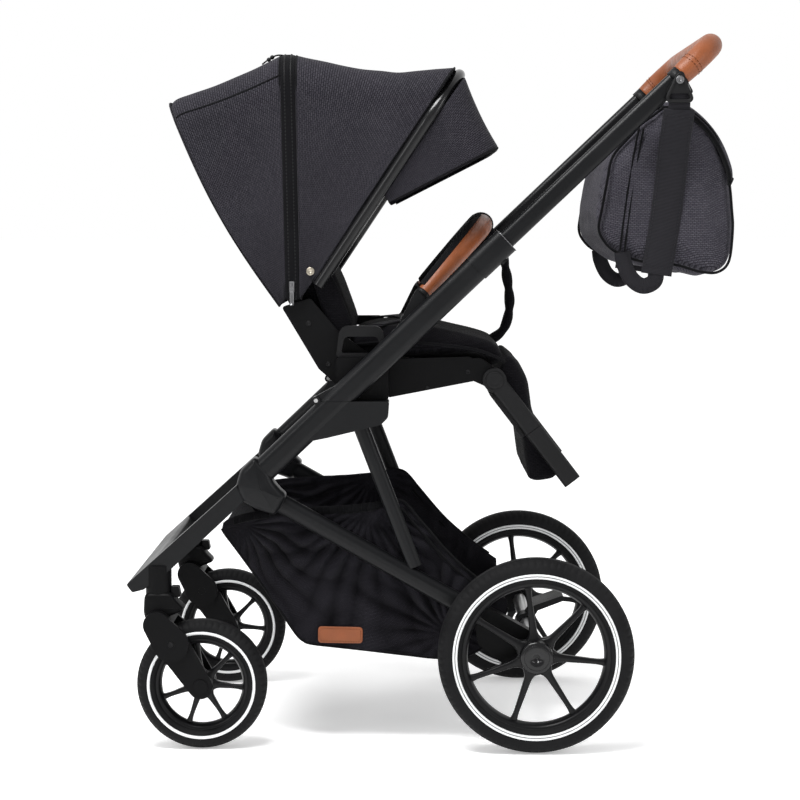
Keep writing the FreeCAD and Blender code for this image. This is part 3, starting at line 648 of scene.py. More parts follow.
def inflate(piece, cap, voxel=0.005, pressure=4.0):
    """Cloth simulation of a stuffed cover: swells it, puckers it, and moves no point by more than cap."""
    frames = 20
    for o in bpy.context.selected_objects:
        o.select_set(False)
    bpy.context.view_layer.objects.active = piece
    piece.select_set(True)
    remesh = piece.modifiers.new("remesh", "REMESH")
    remesh.mode = "VOXEL"
    remesh.voxel_size = voxel
    bpy.ops.object.modifier_apply(modifier=remesh.name)
    start = [v.co.copy() for v in piece.data.vertices]
    cloth = piece.modifiers.new("cloth", "CLOTH")
    cloth.settings.use_pressure = True
    cloth.settings.uniform_pressure_force = pressure
    cloth.settings.tension_stiffness = 18
    cloth.settings.compression_stiffness = 12
    cloth.settings.bending_stiffness = 0.4
    cloth.settings.effector_weights.gravity = 0
    cloth.collision_settings.use_self_collision = False
    cloth.point_cache.frame_start = 1
    cloth.point_cache.frame_end = frames
    for number in range(1, frames + 1):
        SCENE.frame_set(number)
    bpy.ops.object.modifier_apply(modifier=cloth.name)
    SCENE.frame_set(1)
    for vertex, before in zip(piece.data.vertices, start):
        move = vertex.co - before
        if move.length > cap:
            vertex.co = before + move * (cap / move.length)
    piece.data.polygons.foreach_set("use_smooth", [True] * len(piece.data.polygons))
    return soften(piece)


def stitch(name, points, finish, body, length=0.0045, gap=0.003, radius=0.0005):
    """A row of separate stitches along a line."""
    count = max(2, int(run_lengths(points)[-1] / (length + gap)))
    dense = evenly(points, count * 6 + 1)
    verts, faces = [], []
    for k in range(count):
        a, b = dense[k * 6], dense[min(k * 6 + int(6 * length / (length + gap)) + 1, len(dense) - 1)]
        way = (b - a).normalized()
        side = way.orthogonal().normalized()
        out = way.cross(side)
        base = len(verts)
        for share, size in ((0, 0.4), (0.25, 1), (0.75, 1), (1, 0.4)):
            verts += circle(a.lerp(b, share), side, out, radius * size, 5)
        faces += [tuple(base + v for v in f) for f in grid_faces(4, 5, wrap=True)]
        faces += [tuple(base + q for q in reversed(range(5))), tuple(base + 15 + q for q in range(5))]
    return make(name, verts, faces, finish, body)


def button(name, centre, radius, axis, finish, body, height=0.002, slot=True):
    """A round screw or snap head with a dished face and, if slotted, a round recess."""
    axis = Vector(axis).normalized()
    side = axis.orthogonal().normalized()
    out = axis.cross(side)
    profile = [(1.0, 0.0), (1.0, 0.55), (0.9, 0.9), (0.72, 1.0), (0.6, 0.86), (0.45, 0.84)]
    if slot:
        profile += [(0.34, 0.84), (0.28, 0.3), (0.12, 0.25)]
    else:
        profile += [(0.3, 0.95), (0.15, 1.05)]
    around = 24
    points = []
    for share, rise in profile:
        points += circle(centre + axis * (rise * height), side, out, share * radius, around)
    faces = grid_faces(len(profile), around, wrap=True)
    faces.append(tuple((len(profile) - 1) * around + k for k in range(around)))
    return recalculate(make(name, points, faces, finish, body))


# ---------------------------------------------------------------- wheels

def wheel_centre(node):
    """A tyre's or rim's centre, radius and half width, from its CAD box."""
    low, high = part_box(node)
    return (low + high) / 2, (high.z - low.z) / 2, (high.y - low.y) / 2


def revolve(name, centre, profile, around, finish, body, push=None):
    """Turns a closed profile of (radius, y) about the wheel's axle. push(k, radius, y) moves a point outwards."""
    points, uvs = [], []
    run = run_lengths([Vector(place) for place in profile])
    for k in range(around):
        turn = 2 * math.pi * k / around
        for i, (radius, y) in enumerate(profile):
            r = radius + (push(k, radius, y) if push else 0.0)
            points.append(centre + Vector((r * math.cos(turn), y, r * math.sin(turn))))
            uvs.append((radius * turn, run[i]))
    size = len(profile)
    faces = []
    for k in range(around):
        a, b = k * size, (k + 1) % around * size
        for i in range(size):
            j = (i + 1) % size
            faces.append((a + i, a + j, b + j, b + i))
    return recalculate(make(name, points, faces, finish, body, uvs))


def tyre(node, body, bead, lugs, ring_bands):
    """Rubber tyre with a shoulder row of notches, a ribbed tread and reflective rings on both flanks."""
    centre, radius, half = wheel_centre(node)
    notch = 0.0017
    flank = [(bead, -0.6), (bead + 0.003, -0.82), (bead + 0.0065, -0.92), (bead + 0.013, -0.985)]
    shoulder = radius - 0.69 * half
    profile = [(r, y * half) for r, y in flank]
    steps = 17
    math.atan2(half, 0.35 * half)
    tall = radius - shoulder
    for i in range(steps):
        y = -1 + 2 * i / (steps - 1)
        profile.append((shoulder + tall * math.sqrt(max(0.0, 1 - y * y)) * 0.985 + 0.0002, y * half))
    profile += [(r, -y) for r, y in reversed([(r, y * half) for r, y in flank])]

    def tread(k, r, y):
        share = abs(y) / half
        if r < shoulder + 0.15 * tall:
            return 0.0
        phase = (k // 2) % 3
        if 0.62 < share < 0.93:
            return -notch if phase == 0 else 0.0
        if share < 0.16 or 0.4 < share < 0.5:
            return -notch * 0.6
        return 0.0

    piece = revolve(node + "_rubber", centre, profile, lugs * 6, "rubber", body, push=tread)
    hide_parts(node)

    def flank_y(r):
        share = min(1.0, max(0.0, (r - bead - 0.006) / (shoulder - bead - 0.006)))
        return half * (0.915 + 0.07 * min(1.0, share * 2.2)) + 0.0009

    for side_name, side in (("outer", 1), ("inner", -1)):
        for number, (inner, outer) in enumerate(ring_bands):
            band = [(inner, (flank_y(inner) - 0.0012) * side), (inner + 0.0006, flank_y(inner) * side),
                    ((inner + outer) / 2, (flank_y((inner + outer) / 2) + 0.0002) * side),
                    (outer - 0.0006, flank_y(outer) * side), (outer, (flank_y(outer) - 0.0012) * side)]
            revolve(f"{node}_ring_{side_name}_{number}", centre, band, 128, "ring", body)


def wheel_rim(node, body, bead, hub, root, tip, depth, cap):
    """A moulded rim: a stepped ring, seven tapered spokes that flare into the hub, and a hub cap."""
    centre, _, half = wheel_centre(node)
    profile = [(bead + 0.004, -depth), (bead + 0.0045, -depth + 0.002), (bead - 0.0005, -depth + 0.005),
               (bead - 0.0005, depth - 0.005), (bead + 0.0045, depth - 0.002), (bead + 0.004, depth),
               (bead - 0.003, depth), (bead - 0.0055, depth - 0.004), (bead - 0.008, 0.3 * depth),
               (bead - 0.008, -0.3 * depth), (bead - 0.0055, -depth + 0.004), (bead - 0.003, -depth)]
    ring = revolve(node + "_ring", centre, profile, 128, "rim", body)
    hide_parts(node)
    spokes = 7
    points, faces = [], []
    stations = [(0.55, 1.35, 1.0), (0.95, 1.15, 1.0), (1.15, 0.78, 0.92), (1.4, 0.56, 0.86), (1.9, 0.5, 0.8),
                (None, 0.46, 0.7), (None, 0.5, 0.66), (None, 0.75, 0.64)]
    ends = [bead - 0.024, bead - 0.013, bead - 0.006]
    for k in range(spokes):
        turn = math.radians(97.0 + 360 / spokes * k)
        out, side = Vector((math.cos(turn), 0, math.sin(turn))), Vector((-math.sin(turn), 0, math.cos(turn)))
        base = len(points)
        tail = 0
        for share, wide, deep in stations:
            if share is None:
                r = ends[tail]
                tail += 1
                width = tip * wide
            else:
                r = share * hub
                width = root * wide if share < 1.3 else (root * wide + tip * 0.5) / 2 * 1.05
            for a, b in ((-0.5, -0.7), (-0.35, -1), (0.35, -1), (0.5, -0.7), (0.5, 0.7), (0.35, 1), (-0.35, 1),
                         (-0.5, 0.7)):
                points.append(centre + out * r + side * (width * 2 * a) + ACROSS * (b * deep * depth * 0.62))
        faces += [tuple(base + v for v in f) for f in grid_faces(len(stations), 8, wrap=True)]
    soften(recalculate(make(node + "_spokes", points, faces, "rim", body)))
    face = half * 0.98
    hub_profile = [(hub * 0.35, -face), (hub * 0.9, -face), (hub, -face * 0.85), (hub * 1.02, 0), (hub, face * 0.85),
                   (hub * 0.9, face), (hub * 0.35, face)]
    revolve(node + "_hub", centre, hub_profile, 64, "rim", body)
    if cap:
        side = 1 if centre.y > 0 else -1
        dome = [(hub * share, side * (face + rise)) for share, rise in (
            (0.0204, 0.0018), (0.6, 0.0016), (0.86, 0.0012), (0.98, 0.0), (1.0, -0.003), (0.2, -0.003))]
        revolve(f"{node}_cap_outer", centre, dome, 64, "arc", body)
        rib = [(hub * share, side * (face + rise)) for share, rise in (
            (0.74, 0.0012), (0.76, 0.0021), (0.79, 0.0012))]
        revolve(f"{node}_cap_rib", centre, rib, 64, "arc", body)


def wheels():
    for side, _ in SIDES:
        rear, front = f"rear_wheel_{side}", f"front_wheel_{side}"
        tyre(f"rear_tyre_{side}", rear, bead=0.110, lugs=84, ring_bands=[(0.1177, 0.1213), (0.1218, 0.1255)])
        tyre(f"front_tyre_{side}", front, bead=0.069, lugs=60, ring_bands=[(0.0772, 0.0818)])
        wheel_rim(f"rear_rim_{side}", rear, bead=0.110, hub=0.0245, root=0.0125, tip=0.0085, depth=0.0135, cap=True)
        wheel_rim(f"front_rim_{side}", front, bead=0.069, hub=0.017, root=0.0095, tip=0.007, depth=0.0125, cap=False)


# ---------------------------------------------------------------- canopy

HALF = 0.2                      # half the hood's width
CORNER = 0.042                  # radius of its upper corners
PIVOT = at(-158, 684)
BAND_HALF = 0.0105              # half the zip band over the middle hoop
HOOD_COLUMNS, HOOD_ROWS = 73, 31
SEAM_COLUMNS, SEAM_ROWS = 401, 41


class Rib:
    """A canopy hoop: its foot, its direction in the side view, and its length."""

    def __init__(self, x, z, degrees, length, bulge=0.0):
        self.foot, self.angle, self.length, self.bulge = at(x, z), math.radians(degrees), length / 1000, bulge
        self.way = Vector((math.cos(self.angle), 0, math.sin(self.angle)))
        self.out = Vector((-math.sin(self.angle), 0, math.cos(self.angle)))

    def point(self, share, inset=0.0, out=0.0):
        """The point a share of the way round, from the left foot over the top to the right foot."""
        leg = self.length - CORNER - inset
        wide = HALF - inset
        corner = CORNER - inset * 0.5
        turn = math.pi / 2 * corner
        top = 2 * (wide - corner)
        total = 2 * leg + 2 * turn + top
        s = share * total
        flip = s > total / 2
        s = total - s if flip else s
        if s < leg:
            up, y = s, wide
        elif s < leg + turn:
            a = (s - leg) / corner
            up, y = leg + corner * math.sin(a), wide - corner * (1 - math.cos(a))
        else:
            up, y = leg + corner, wide - corner - (s - leg - turn)
        bow = self.bulge * math.sin(math.pi * min(1.0, up / self.length))
        crown = 0.006 * max(0.0, 1 - abs(y) / wide) if s > leg + turn else 0.0
        spot = self.foot + self.way * (up + crown) + self.out * (out + bow)
        return Vector((spot.x, y if flip else -y, spot.z))


REAR = Rib(-194, 666, 119.2, 352, 0.013)
MIDDLE = Rib(-175, 676, 91.2, 366)
FRONT = Rib(-137, 697, 56.3, 386)
VISOR = Rib(-30, 822, 27.0, 186)


def hood_grid(first, last, columns, rows, sag, first_out=0.0, last_out=0.0, wrinkle=0.0, inset=0.0, tuck=0.0):
    """Cloth between two hoops: straight across at the hoops, sagging inwards between them."""
    grid = []
    for i in range(rows):
        t = i / (rows - 1)
        row = []
        for j in range(columns):
            share = j / (columns - 1)
            p = first.point(share, inset, first_out).lerp(last.point(share, inset, last_out), t)
            top = math.sin(math.pi * share) ** 2
            dip = 4 * t * (1 - t)
            inward = (PIVOT - p).normalized()
            p = p + inward * (sag * dip * (0.35 + 0.65 * top))
            if tuck:
                turned = 1 - math.sqrt(max(0.0, 1 - max(0.0, 1 - t / 0.12) ** 2))
                p = p + inward * (tuck * turned * min(1.0, top * 1.6))
            if wrinkle:
                waves = noise.noise(Vector((p.x * 9, p.y * 5, p.z * 6))) * 0.7
                waves += noise.noise(Vector((p.x * 26 + p.z * 14, p.y * 9, p.z * 8 - p.x * 11))) * 0.45
                p = p + inward * (wrinkle * waves * dip ** 0.5)
            row.append(p)
        grid.append(row)
    return grid


def hoop_line(rib, count, inset=0.0, out=0.0, first=0.0, last=1.0):
    return [rib.point(first + (last - first) * k / (count - 1), inset, out) for k in range(count)]


def canopy():
    """The hood: four cloths, the zip band over the middle hoop, bindings and seams."""
    thick = 0.0022
    hem_line = hoop_line(VISOR, 80, inset=0.002, first=0.012, last=0.988)


    def rear_grid(columns, rows):
        return hood_grid(REAR, MIDDLE, columns, rows, 0.006, last_out=BAND_HALF, wrinkle=0.0025, tuck=0.012)

    grid = rear_grid(HOOD_COLUMNS, HOOD_ROWS)
    rear = sheet_piece("canopy_rear_cloth", grid, "fabric", None, thick)
    fan_blend(rear)
    rear_edge = [p + REAR.out * 0.0008 for p in grid[0]]
    tube("canopy_rear_piping", rear_edge, 0.0018, "tape_solid", "backrest", 8)
    wall = []
    for i in range(15):
        t = i / 14
        edge = REAR.point(0.5 * t)
        bow = 0.006 * math.sin(math.pi * min(1, t * 1.3))
        wall.append([Vector((edge.x, v * abs(edge.y), edge.z)) + REAR.out * (bow * (1 - v * v)) for v in width(31)])
    back = sheet_piece("canopy_back_cloth", wall, "fabric", "backrest", thick, 1.0)
    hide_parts("canopy_rear")

    grid = hood_grid(MIDDLE, FRONT, HOOD_COLUMNS, HOOD_ROWS, 0.016, first_out=-BAND_HALF, last_out=0.0098,
                     wrinkle=0.0045)
    front = sheet_piece("canopy_front_cloth", grid, "fabric", None, thick)
    fan_blend(front)
    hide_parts("canopy_front")

    root = Rib(0, 0, 56.3, 386 - 168)
    root.foot = FRONT.foot + FRONT.way * 0.168
    grid = hood_grid(root, VISOR, 61, 13, 0.004, first_out=-0.008, wrinkle=0.002, inset=0.002)
    visor = sheet_piece("canopy_visor_cloth", grid, "fabric", "canopy_front", thick)
    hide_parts("canopy_visor")
    tube("visor_hem", hem_line, 0.0021, "tape_solid", "canopy_front", 8)

    # The zip band over the middle hoop: a tape with two coil zips and a bound edge on each side.
    rows = []
    for out, lift in ((0.0112, -0.0012), (0.0085, 0.0), (0, 0.0006), (-0.0085, 0.0), (-0.0112, -0.0012)):
        rows.append(hoop_line(MIDDLE, 110, out=out, inset=-lift - 0.0006))
    sheet_piece("zip_band", rows, "tape", "canopy_mid", 0.0016)
    for number, out in enumerate((0.0048, -0.0048)):
        line = hoop_line(MIDDLE, 420, out=out, inset=-0.0014)
        tube(f"zip_coil_{number}", line, 0.0013, "plastic", "canopy_mid", 6,
             swell=lambda t: 1.0 + 0.28 * math.cos(t * 419 * math.pi))
    for number, (rib, out, body, radius) in enumerate(((MIDDLE, 0.0125, "canopy_mid", 0.0014),
                                                       (MIDDLE, -0.0125, "canopy_mid", 0.0014),
                                                       (FRONT, 0.0112, "canopy_front", 0.0017))):
        tube(f"canopy_piping_{number}", hoop_line(rib, 110, out=out, inset=-0.0004), radius,
             "tape_solid", body, 8)

    # Seams where the roof panel is sewn to the side panels, a thumb's width below the roof's edge.
    below_roof = 0.031
    rows = rear_grid(SEAM_COLUMNS, SEAM_ROWS)
    middle = rows[SEAM_ROWS // 2]
    left = next(j for j, p in enumerate(middle) if p.z > middle[SEAM_COLUMNS // 2].z - below_roof)
    for side, sign in SIDES:
        def seam_line(shift, out):
            column = left + shift if sign < 0 else SEAM_COLUMNS - 1 - left - shift
            return [row[column] + ACROSS * (sign * out) for row in rows[1:]]
        seam = tube(f"roof_seam_{side}", seam_line(0, 0.0012), 0.0014, "tape_solid", None, 8)
        fan_blend(seam)
        for number, shift in enumerate((2, -2)):
            row = stitch(f"roof_stitch_{side}_{number}", seam_line(shift, 0.0008), "thread_black", None, 0.003, 0.002,
                         0.0004)
            fan_blend(row)
    for side, sign in SIDES:
        button(f"canopy_snap_{side}", at(-148.7, 718.8, sign * 200.6), 0.0062, (0, sign, 0), "brass",
               "canopy_mid", 0.0012)
        puller(f"zip_puller_{side}", at(-176.5, 696, sign * 203.2), sign)


def puller(name, place, sign):
    """A zip slider with its hanging tab."""
    slider = [Vector((0, 0, 0.007)), Vector((0, 0.0022 * sign, 0.003)), Vector((0, 0.0022 * sign, -0.003)),
              Vector((0, 0.0006 * sign, -0.008))]
    strap(name + "_slider", [place + p for p in slider], 0.0075, 0.0026, "gunmetal", "canopy_mid",
          across=Vector((1, 0, 0)))
    tab = [place + Vector((0, (0.0026 + 0.0006 * k) * sign, -0.006 - 0.0045 * k)) for k in range(6)]
    strap(name + "_tab", tab, 0.0062, 0.0018, "gunmetal", "canopy_mid", across=Vector((1, 0, 0)))


def zip_cord():
    """The short cord with a bead on the canopy's top: the route of the CAD tube."""
    route = [at(-184, 1046, -104), at(-197, 1051, -106), at(-213, 1045.5, -109), at(-226, 1035, -107)]
    diameter = 0.0024
    curve = bpy.data.curves.new("zip_cord_line", "CURVE")
    curve.dimensions = "3D"
    curve.bevel_depth = diameter / 2
    curve.use_fill_caps = True
    spline = curve.splines.new("NURBS")
    spline.points.add(len(route) - 1)
    for point, place in zip(spline.points, route):
        point.co = (*place, 1)
    spline.order_u = 3
    spline.use_endpoint_u = True
    curve.materials.append(MATERIALS["tape_solid"])
    cord = bpy.data.objects.new("zip_pull_cord", curve)
    SCENE.collection.objects.link(cord)
    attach(cord, "canopy_mid")
    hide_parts("zip_cord")
    centre = at(-213, 1044.2, -109)
    bead = tube("zip_cord_bead", [centre + Vector((0.0052 - 0.0013 * k, 0, 0.0032 - 0.0009 * k)) for k in range(9)],
                0.0034, "plastic", "canopy_mid", 14,
                swell=lambda t: 0.55 + 0.45 * abs(math.sin(2 * math.pi * t)) ** 0.5)
    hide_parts("zip_bead")


# ---------------------------------------------------------------- seat

def seat():
    """Cushions, side wings, harness and buckle."""
    pad = soft_block("seat_cushion", [(-94, 596), (100, 592), (128, 580), (141, 572), (148, 586), (136, 603),
                                      (104, 612), (60, 622), (30, 629), (-30, 630), (-60, 626), (-95, 616)],
                     181, "pad_fabric", None, edge=0.014, crown=0.003)
    inflate(pad, cap=0.006)
    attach(pad, "seat")
    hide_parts("seat_pad")
    rim = ((-88, 607), (-20, 612), (50, 607), (100, 600), (132, 589), (146, 580))
    for side, sign in SIDES:
        line = through([(x, z, sign * 182.5) for x, z in rim], 60)
        tube(f"seat_piping_{side}", line, 0.0022, "tape_solid", "seat", 8)

    back = soft_block("back_cushion", [(-101, 600), (-86, 618), (-116, 700), (-152, 770), (-200, 850), (-262, 928),
                                       (-290, 912), (-262, 850), (-222, 770), (-180, 700), (-130, 606)],
                      174, "pad_fabric", None, edge=0.02, crown=0.004)
    inflate(back, cap=0.008)
    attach(back, "backrest")
    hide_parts("backrest_pad")
    # Side wings of the back pad: padded flaps that show beside the canopy's foot.
    for side, sign in SIDES:
        wing = soft_block(f"back_wing_{side}", [(-104, 606), (-84, 628), (-112, 700), (-137, 738), (-152, 728),
                                                (-140, 690), (-124, 640)],
                          5, "pad_fabric", "backrest", edge=0.004, crown=0.002, around=64, across=8,
                          shift=(0, sign * 0.178, 0))

    for side, sign in SIDES:
        line = through([(-120, 640, sign * 50), (-128, 700, sign * 52), (-160, 780, sign * 54),
                        (-200, 850, sign * 52), (-232, 890, sign * 50)], 60)
        line = [p + Vector((0.0085, 0, 0.0045)) for p in line]
        band = strap(f"shoulder_strap_{side}", line, 0.034, 0.0035, "webbing", "backrest")
        if side == "left":
            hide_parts("shoulder_straps")
        shoulder_pad = soft_block(f"shoulder_pad_{side}", [(-118, 690), (-150, 760), (-176, 812), (-183, 808),
                                                          (-158, 754), (-126, 686)],
                                  24, "pad_fabric", "backrest", edge=0.006, crown=0.001, around=48, across=12,
                                  shift=(0.011, sign * 0.053, 0.006))

    buckle = soft_block("harness_buckle_shell", [(-14, 632), (26, 633), (24, 645), (16, 650), (-4, 649), (-12, 643)],
                        21, "plastic", "seat", edge=0.006, crown=0.0015, around=64, across=16)
    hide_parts("harness_buckle")
    button("buckle_button", at(6, 650.5), 0.0085, (0, 0, 1), "plastic", "seat", 0.002, slot=False)
    strap("crotch_belt", through([(24, 640), (46, 633), (70, 626.5)], 14), 0.036, 0.003,
          "webbing", "seat")
    for side, sign in SIDES:
        line = through([(2, 640, sign * 18), (-8, 641, sign * 70), (-26, 640, sign * 120),
                        (-52, 636, sign * 165)], 30)
        strap(f"waist_belt_{side}", line, 0.028, 0.003, "webbing", "seat", across=Vector((1, 0, 0.1)))


def leg_rest():
    """The leg pad and its caps."""
    outline = [(152, 594), (165, 583), (180, 552), (187, 505), (204, 462), (229, 424), (231, 408), (222, 399),
               (196, 395), (185, 398), (181, 425), (176, 461), (163, 484), (147, 506), (139, 535), (138, 570)]
    pad = soft_block("leg_cushion", outline, 173, "pad_fabric", None, edge=0.010, crown=0.001, corner=0.006)
    inflate(pad, cap=0.002)
    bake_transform(pad)
    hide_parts("leg_pad")
    for side, sign in SIDES:
        button(f"leg_rest_cap_{side}", at(130, 554, sign * 196.2), 0.0135, (0, sign, 0), "plastic", "leg_rest",
               0.002, slot=False)


def bumper():
    """The leather sleeve of the bumper bar, and the crotch strap that hangs from it."""
    angle = math.radians(48)
    way = Vector((math.cos(angle), 0, math.sin(angle)))
    tip = at(17, 681)
    rise, half = 0.146, 0.205
    radius = (half ** 2 + rise ** 2) / (2 * rise)
    centre = tip + way * (rise - radius)
    spread = math.acos((radius - rise) / radius)

    def spot(t):
        turn = -spread + 2 * spread * t
        return centre + way * (radius * math.cos(turn)) + ACROSS * (radius * math.sin(turn))

    def thickness(t):
        return 0.0098 + 0.0082 * math.sin(math.pi * min(1.0, max(0.0, t))) ** 0.8

    line = [spot(0.012 + 0.976 * k / 120) for k in range(121)]
    sleeve = tube("bumper_leather", line, 1.0, "leather", "bumper", 24, swell=thickness)
    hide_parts("bumper_sleeve")
    below = Vector((math.sin(angle), 0, -math.cos(angle)))
    seam = [spot(0.03 + 0.94 * k / 200) + below * thickness(0.03 + 0.94 * k / 200) for k in range(201)]
    stitch("bumper_stitches", seam, "thread", "bumper")
    above = -below
    tube("bumper_lining", [p + above * 0.0056 for p in line[2:-2]], 1.0, "tape_solid", "bumper", 18,
         swell=lambda t: thickness(t) * 0.84)
    for side, place in (("left", 0.004), ("right", 0.996)):
        a, b = spot(place), spot(place + (0.012 if place < 0.5 else -0.012))
        tube(f"bumper_cuff_{side}", [a, a.lerp(b, 0.5), b], 0.0118, "plastic", "bumper", 20)
    tube("crotch_strap_collar", [spot(0.5 + 0.0042 * k) for k in range(-9, 10)], 0.0202, "pad_fabric",
         "bumper", 24, swell=lambda t: 0.86 + 0.14 * math.sin(math.pi * t) ** 0.5)

    # The padded crotch strap: from under the bar down to the seat's front edge, waisted by its seams.
    line = smooth_line([spot(0.5) + Vector((0.012, 0, -0.006)), at(149, 742), at(157, 704), at(161, 668),
                        at(158, 640), at(150, 621), at(136, 609), at(122, 603)], 90)
    verts, uvs = [], []
    for i, here in enumerate(line):
        t = i / 89
        tangent = (line[min(i + 1, 89)] - line[max(i - 1, 0)]).normalized()
        out = tangent.cross(ACROSS)
        thick = 0.0062 + 0.0022 * abs(math.sin(t * math.pi * 6)) + 0.0008 * noise.noise(Vector((t * 14, 0, 0)))
        wide = 0.021 - 0.003 * math.sin(math.pi * t)
        for k in range(16):
            turn = 2 * math.pi * k / 16
            c, d = math.cos(turn), math.sin(turn)
            verts.append(here + ACROSS * (wide * math.copysign(abs(c) ** 0.6, c))
                         + out * (thick * math.copysign(abs(d) ** 0.8, d)))
            uvs.append((0.3 * t, 0.003 * k))
    band = soften(loft("crotch_strap_cloth", verts, 16, "pad_fabric", None, uvs))
    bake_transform(band)
    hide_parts("crotch_strap")


# ---------------------------------------------------------------- basket

def basket():
    """A cloth tub: two gathered side walls and a belly that runs under and up at both ends."""
    half = 0.205
    bottom = [(-284, 329), (-278, 319), (-263, 299), (-230, 253), (-199, 208), (-173, 169), (-161, 157), (-148, 152),
              (-104, 147), (-60, 142), (0, 135), (45, 130.5), (88, 134), (124, 156), (142, 188), (150, 208)]
    top = [(-282, 338), (-275, 343), (-262, 348), (-243, 353), (-215, 357), (-180, 360), (-140, 362), (-100, 364),
           (-60, 368), (-14, 373), (20, 338), (60, 292), (105, 252), (150, 220)]
    pulls = ((-250, 335, 11, 0.15), (-60, 360, 13, 0.14), (60, 170, 9, 0.09))   # x, z, creases, reach
    columns, rows = 160, 60
    low, high = through(bottom, columns), through(top, columns)
    for side, sign in SIDES:
        grid, lit = [], []
        for i in range(rows):
            t = i / (rows - 1)
            row = []
            for j in range(columns):
                p = low[j].lerp(high[j], t)
                pull = math.sin(math.pi * t)
                ends = math.sin(math.pi * j / (columns - 1)) ** 0.5
                along, over = p.x * 0.55 + p.z * 0.83, p.x * 0.83 - p.z * 0.55
                fold = 1.1 * noise.noise(Vector((over * 17, along * 4, 0.3 + 3 * sign)))
                fold += 0.45 - 1.5 * abs(noise.noise(Vector((over * 23, along * 5.5, 2.0 + sign))))
                fold += 0.35 * noise.noise(Vector((over * 60, along * 16, 5.0 + sign)))
                pleat = abs(math.sin(p.x * 95 + 2 * noise.noise(Vector((p.x * 20, 0, 1))))) - 0.6
                pleat *= max(0.0, (t - 0.5) / 0.5) ** 1.5 * ends
                crease = 0.0
                for x, z, count, reach in pulls:
                    away = p - at(x, z)
                    turn = math.atan2(away.z, away.x) * count + 2.2 * noise.noise(p * 13 + ACROSS * (x * sign))
                    crease += (abs(math.sin(turn)) - 0.5) * math.exp(-away.length / reach) \
                        * min(1.0, away.length / 0.05)
                out = 0.001 + 0.009 * fold * (0.3 + 0.7 * pull) * ends - 0.006 * pull * ends + 0.004 * pleat
                out += 0.02 * crease * pull ** 0.7 * ends
                # Painted light and shade for the cloth: fold ridges paler, fold valleys darker, stored in the crease
                # attribute.
                lit.append(1.5 * crease * ends + 0.5 * fold * pull * ends)
                row.append(Vector((p.x, sign * (half + out), p.z)))
            grid.append(row)
        wall = sheet_piece(f"basket_wall_{side}", grid, "basket_fabric", "chassis", 0.0016, 0.0)
        wall.data.attributes.new("crease", "FLOAT", "POINT").data.foreach_set("value", np.array(lit, np.float32))
        edge = grid[-1]
        crest = max(range(columns), key=lambda j: edge[j].z)
        ribs = evenly(edge[6:crest + 1], 420)
        band = []
        for drop, lift in ((-0.0005, 0.0006), (0.0015, 0.0022), (0.006, 0.0026), (0.0105, 0.0022), (0.0125, 0.0006)):
            band.append([Vector((p.x, p.y + sign * (lift + 0.0008 * math.sin(k * 2.2)), p.z - drop))
                         for k, p in enumerate(ribs)])
        sheet_piece(f"basket_elastic_{side}", band, "tape", "chassis", 0.0012, 0.0, 0)
        for number, drop in enumerate((0.0, 0.0105)):
            slope = smooth_line([edge[j] + Vector((-drop * 0.66, sign * 0.0016, -drop * 0.75))
                                 for j in range(crest, columns - 2, 5)], 60)
            tube(f"basket_piping_{side}_{number}", slope, 0.0023, "tape_solid", "chassis", 8)
        tube(f"basket_hem_{side}", [Vector((p.x, sign * (half + 0.001), p.z)) for p in low], 0.0022,
             "tape_solid", "chassis", 8)
        if side == "left":
            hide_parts("basket")
    belly = []
    for v in width(41):
        row = []
        for j, p in enumerate(low):
            sag = 0.003 * (1 - v * v) * math.sin(math.pi * j / (columns - 1))
            ripple = 0.002 * noise.noise(Vector((p.x * 8, v * 5, p.z * 8)))
            row.append(Vector((p.x, v * half, p.z - sag + ripple)))
        belly.append(row)
    floor = sheet_piece("basket_belly", belly, "basket_fabric", "chassis", 0.0018, 0.0)

    soft_block("basket_patch", [(-138.5, 154.5), (-70.5, 153.5), (-70, 178.5), (-138, 180)], 1.4, "leather",
               "chassis", edge=0.0012, crown=0.0, around=96, across=6, corner=0.006, shift=(0, -half - 0.006, 0))
    line = rounded([at(x, z, -(half * 1000 + 7.5)) for x, z in ((-135.5, 157.5), (-73.5, 156.5), (-73, 175.5),
                                                               (-135, 177))], 0.005)
    stitch("patch_stitches", line + [line[0]], "thread", "chassis", 0.0026, 0.0014, 0.0004)


# ---------------------------------------------------------------- handle and bag

def along_tube(distance, y=0.0, out=0.0):
    """A place on the handle's slanting tube, in millimetres from its collar."""
    angle = math.radians(43.5)
    return at(145 + distance * math.cos(angle) - out * math.sin(angle),
              766 + distance * math.sin(angle) + out * math.cos(angle), y)


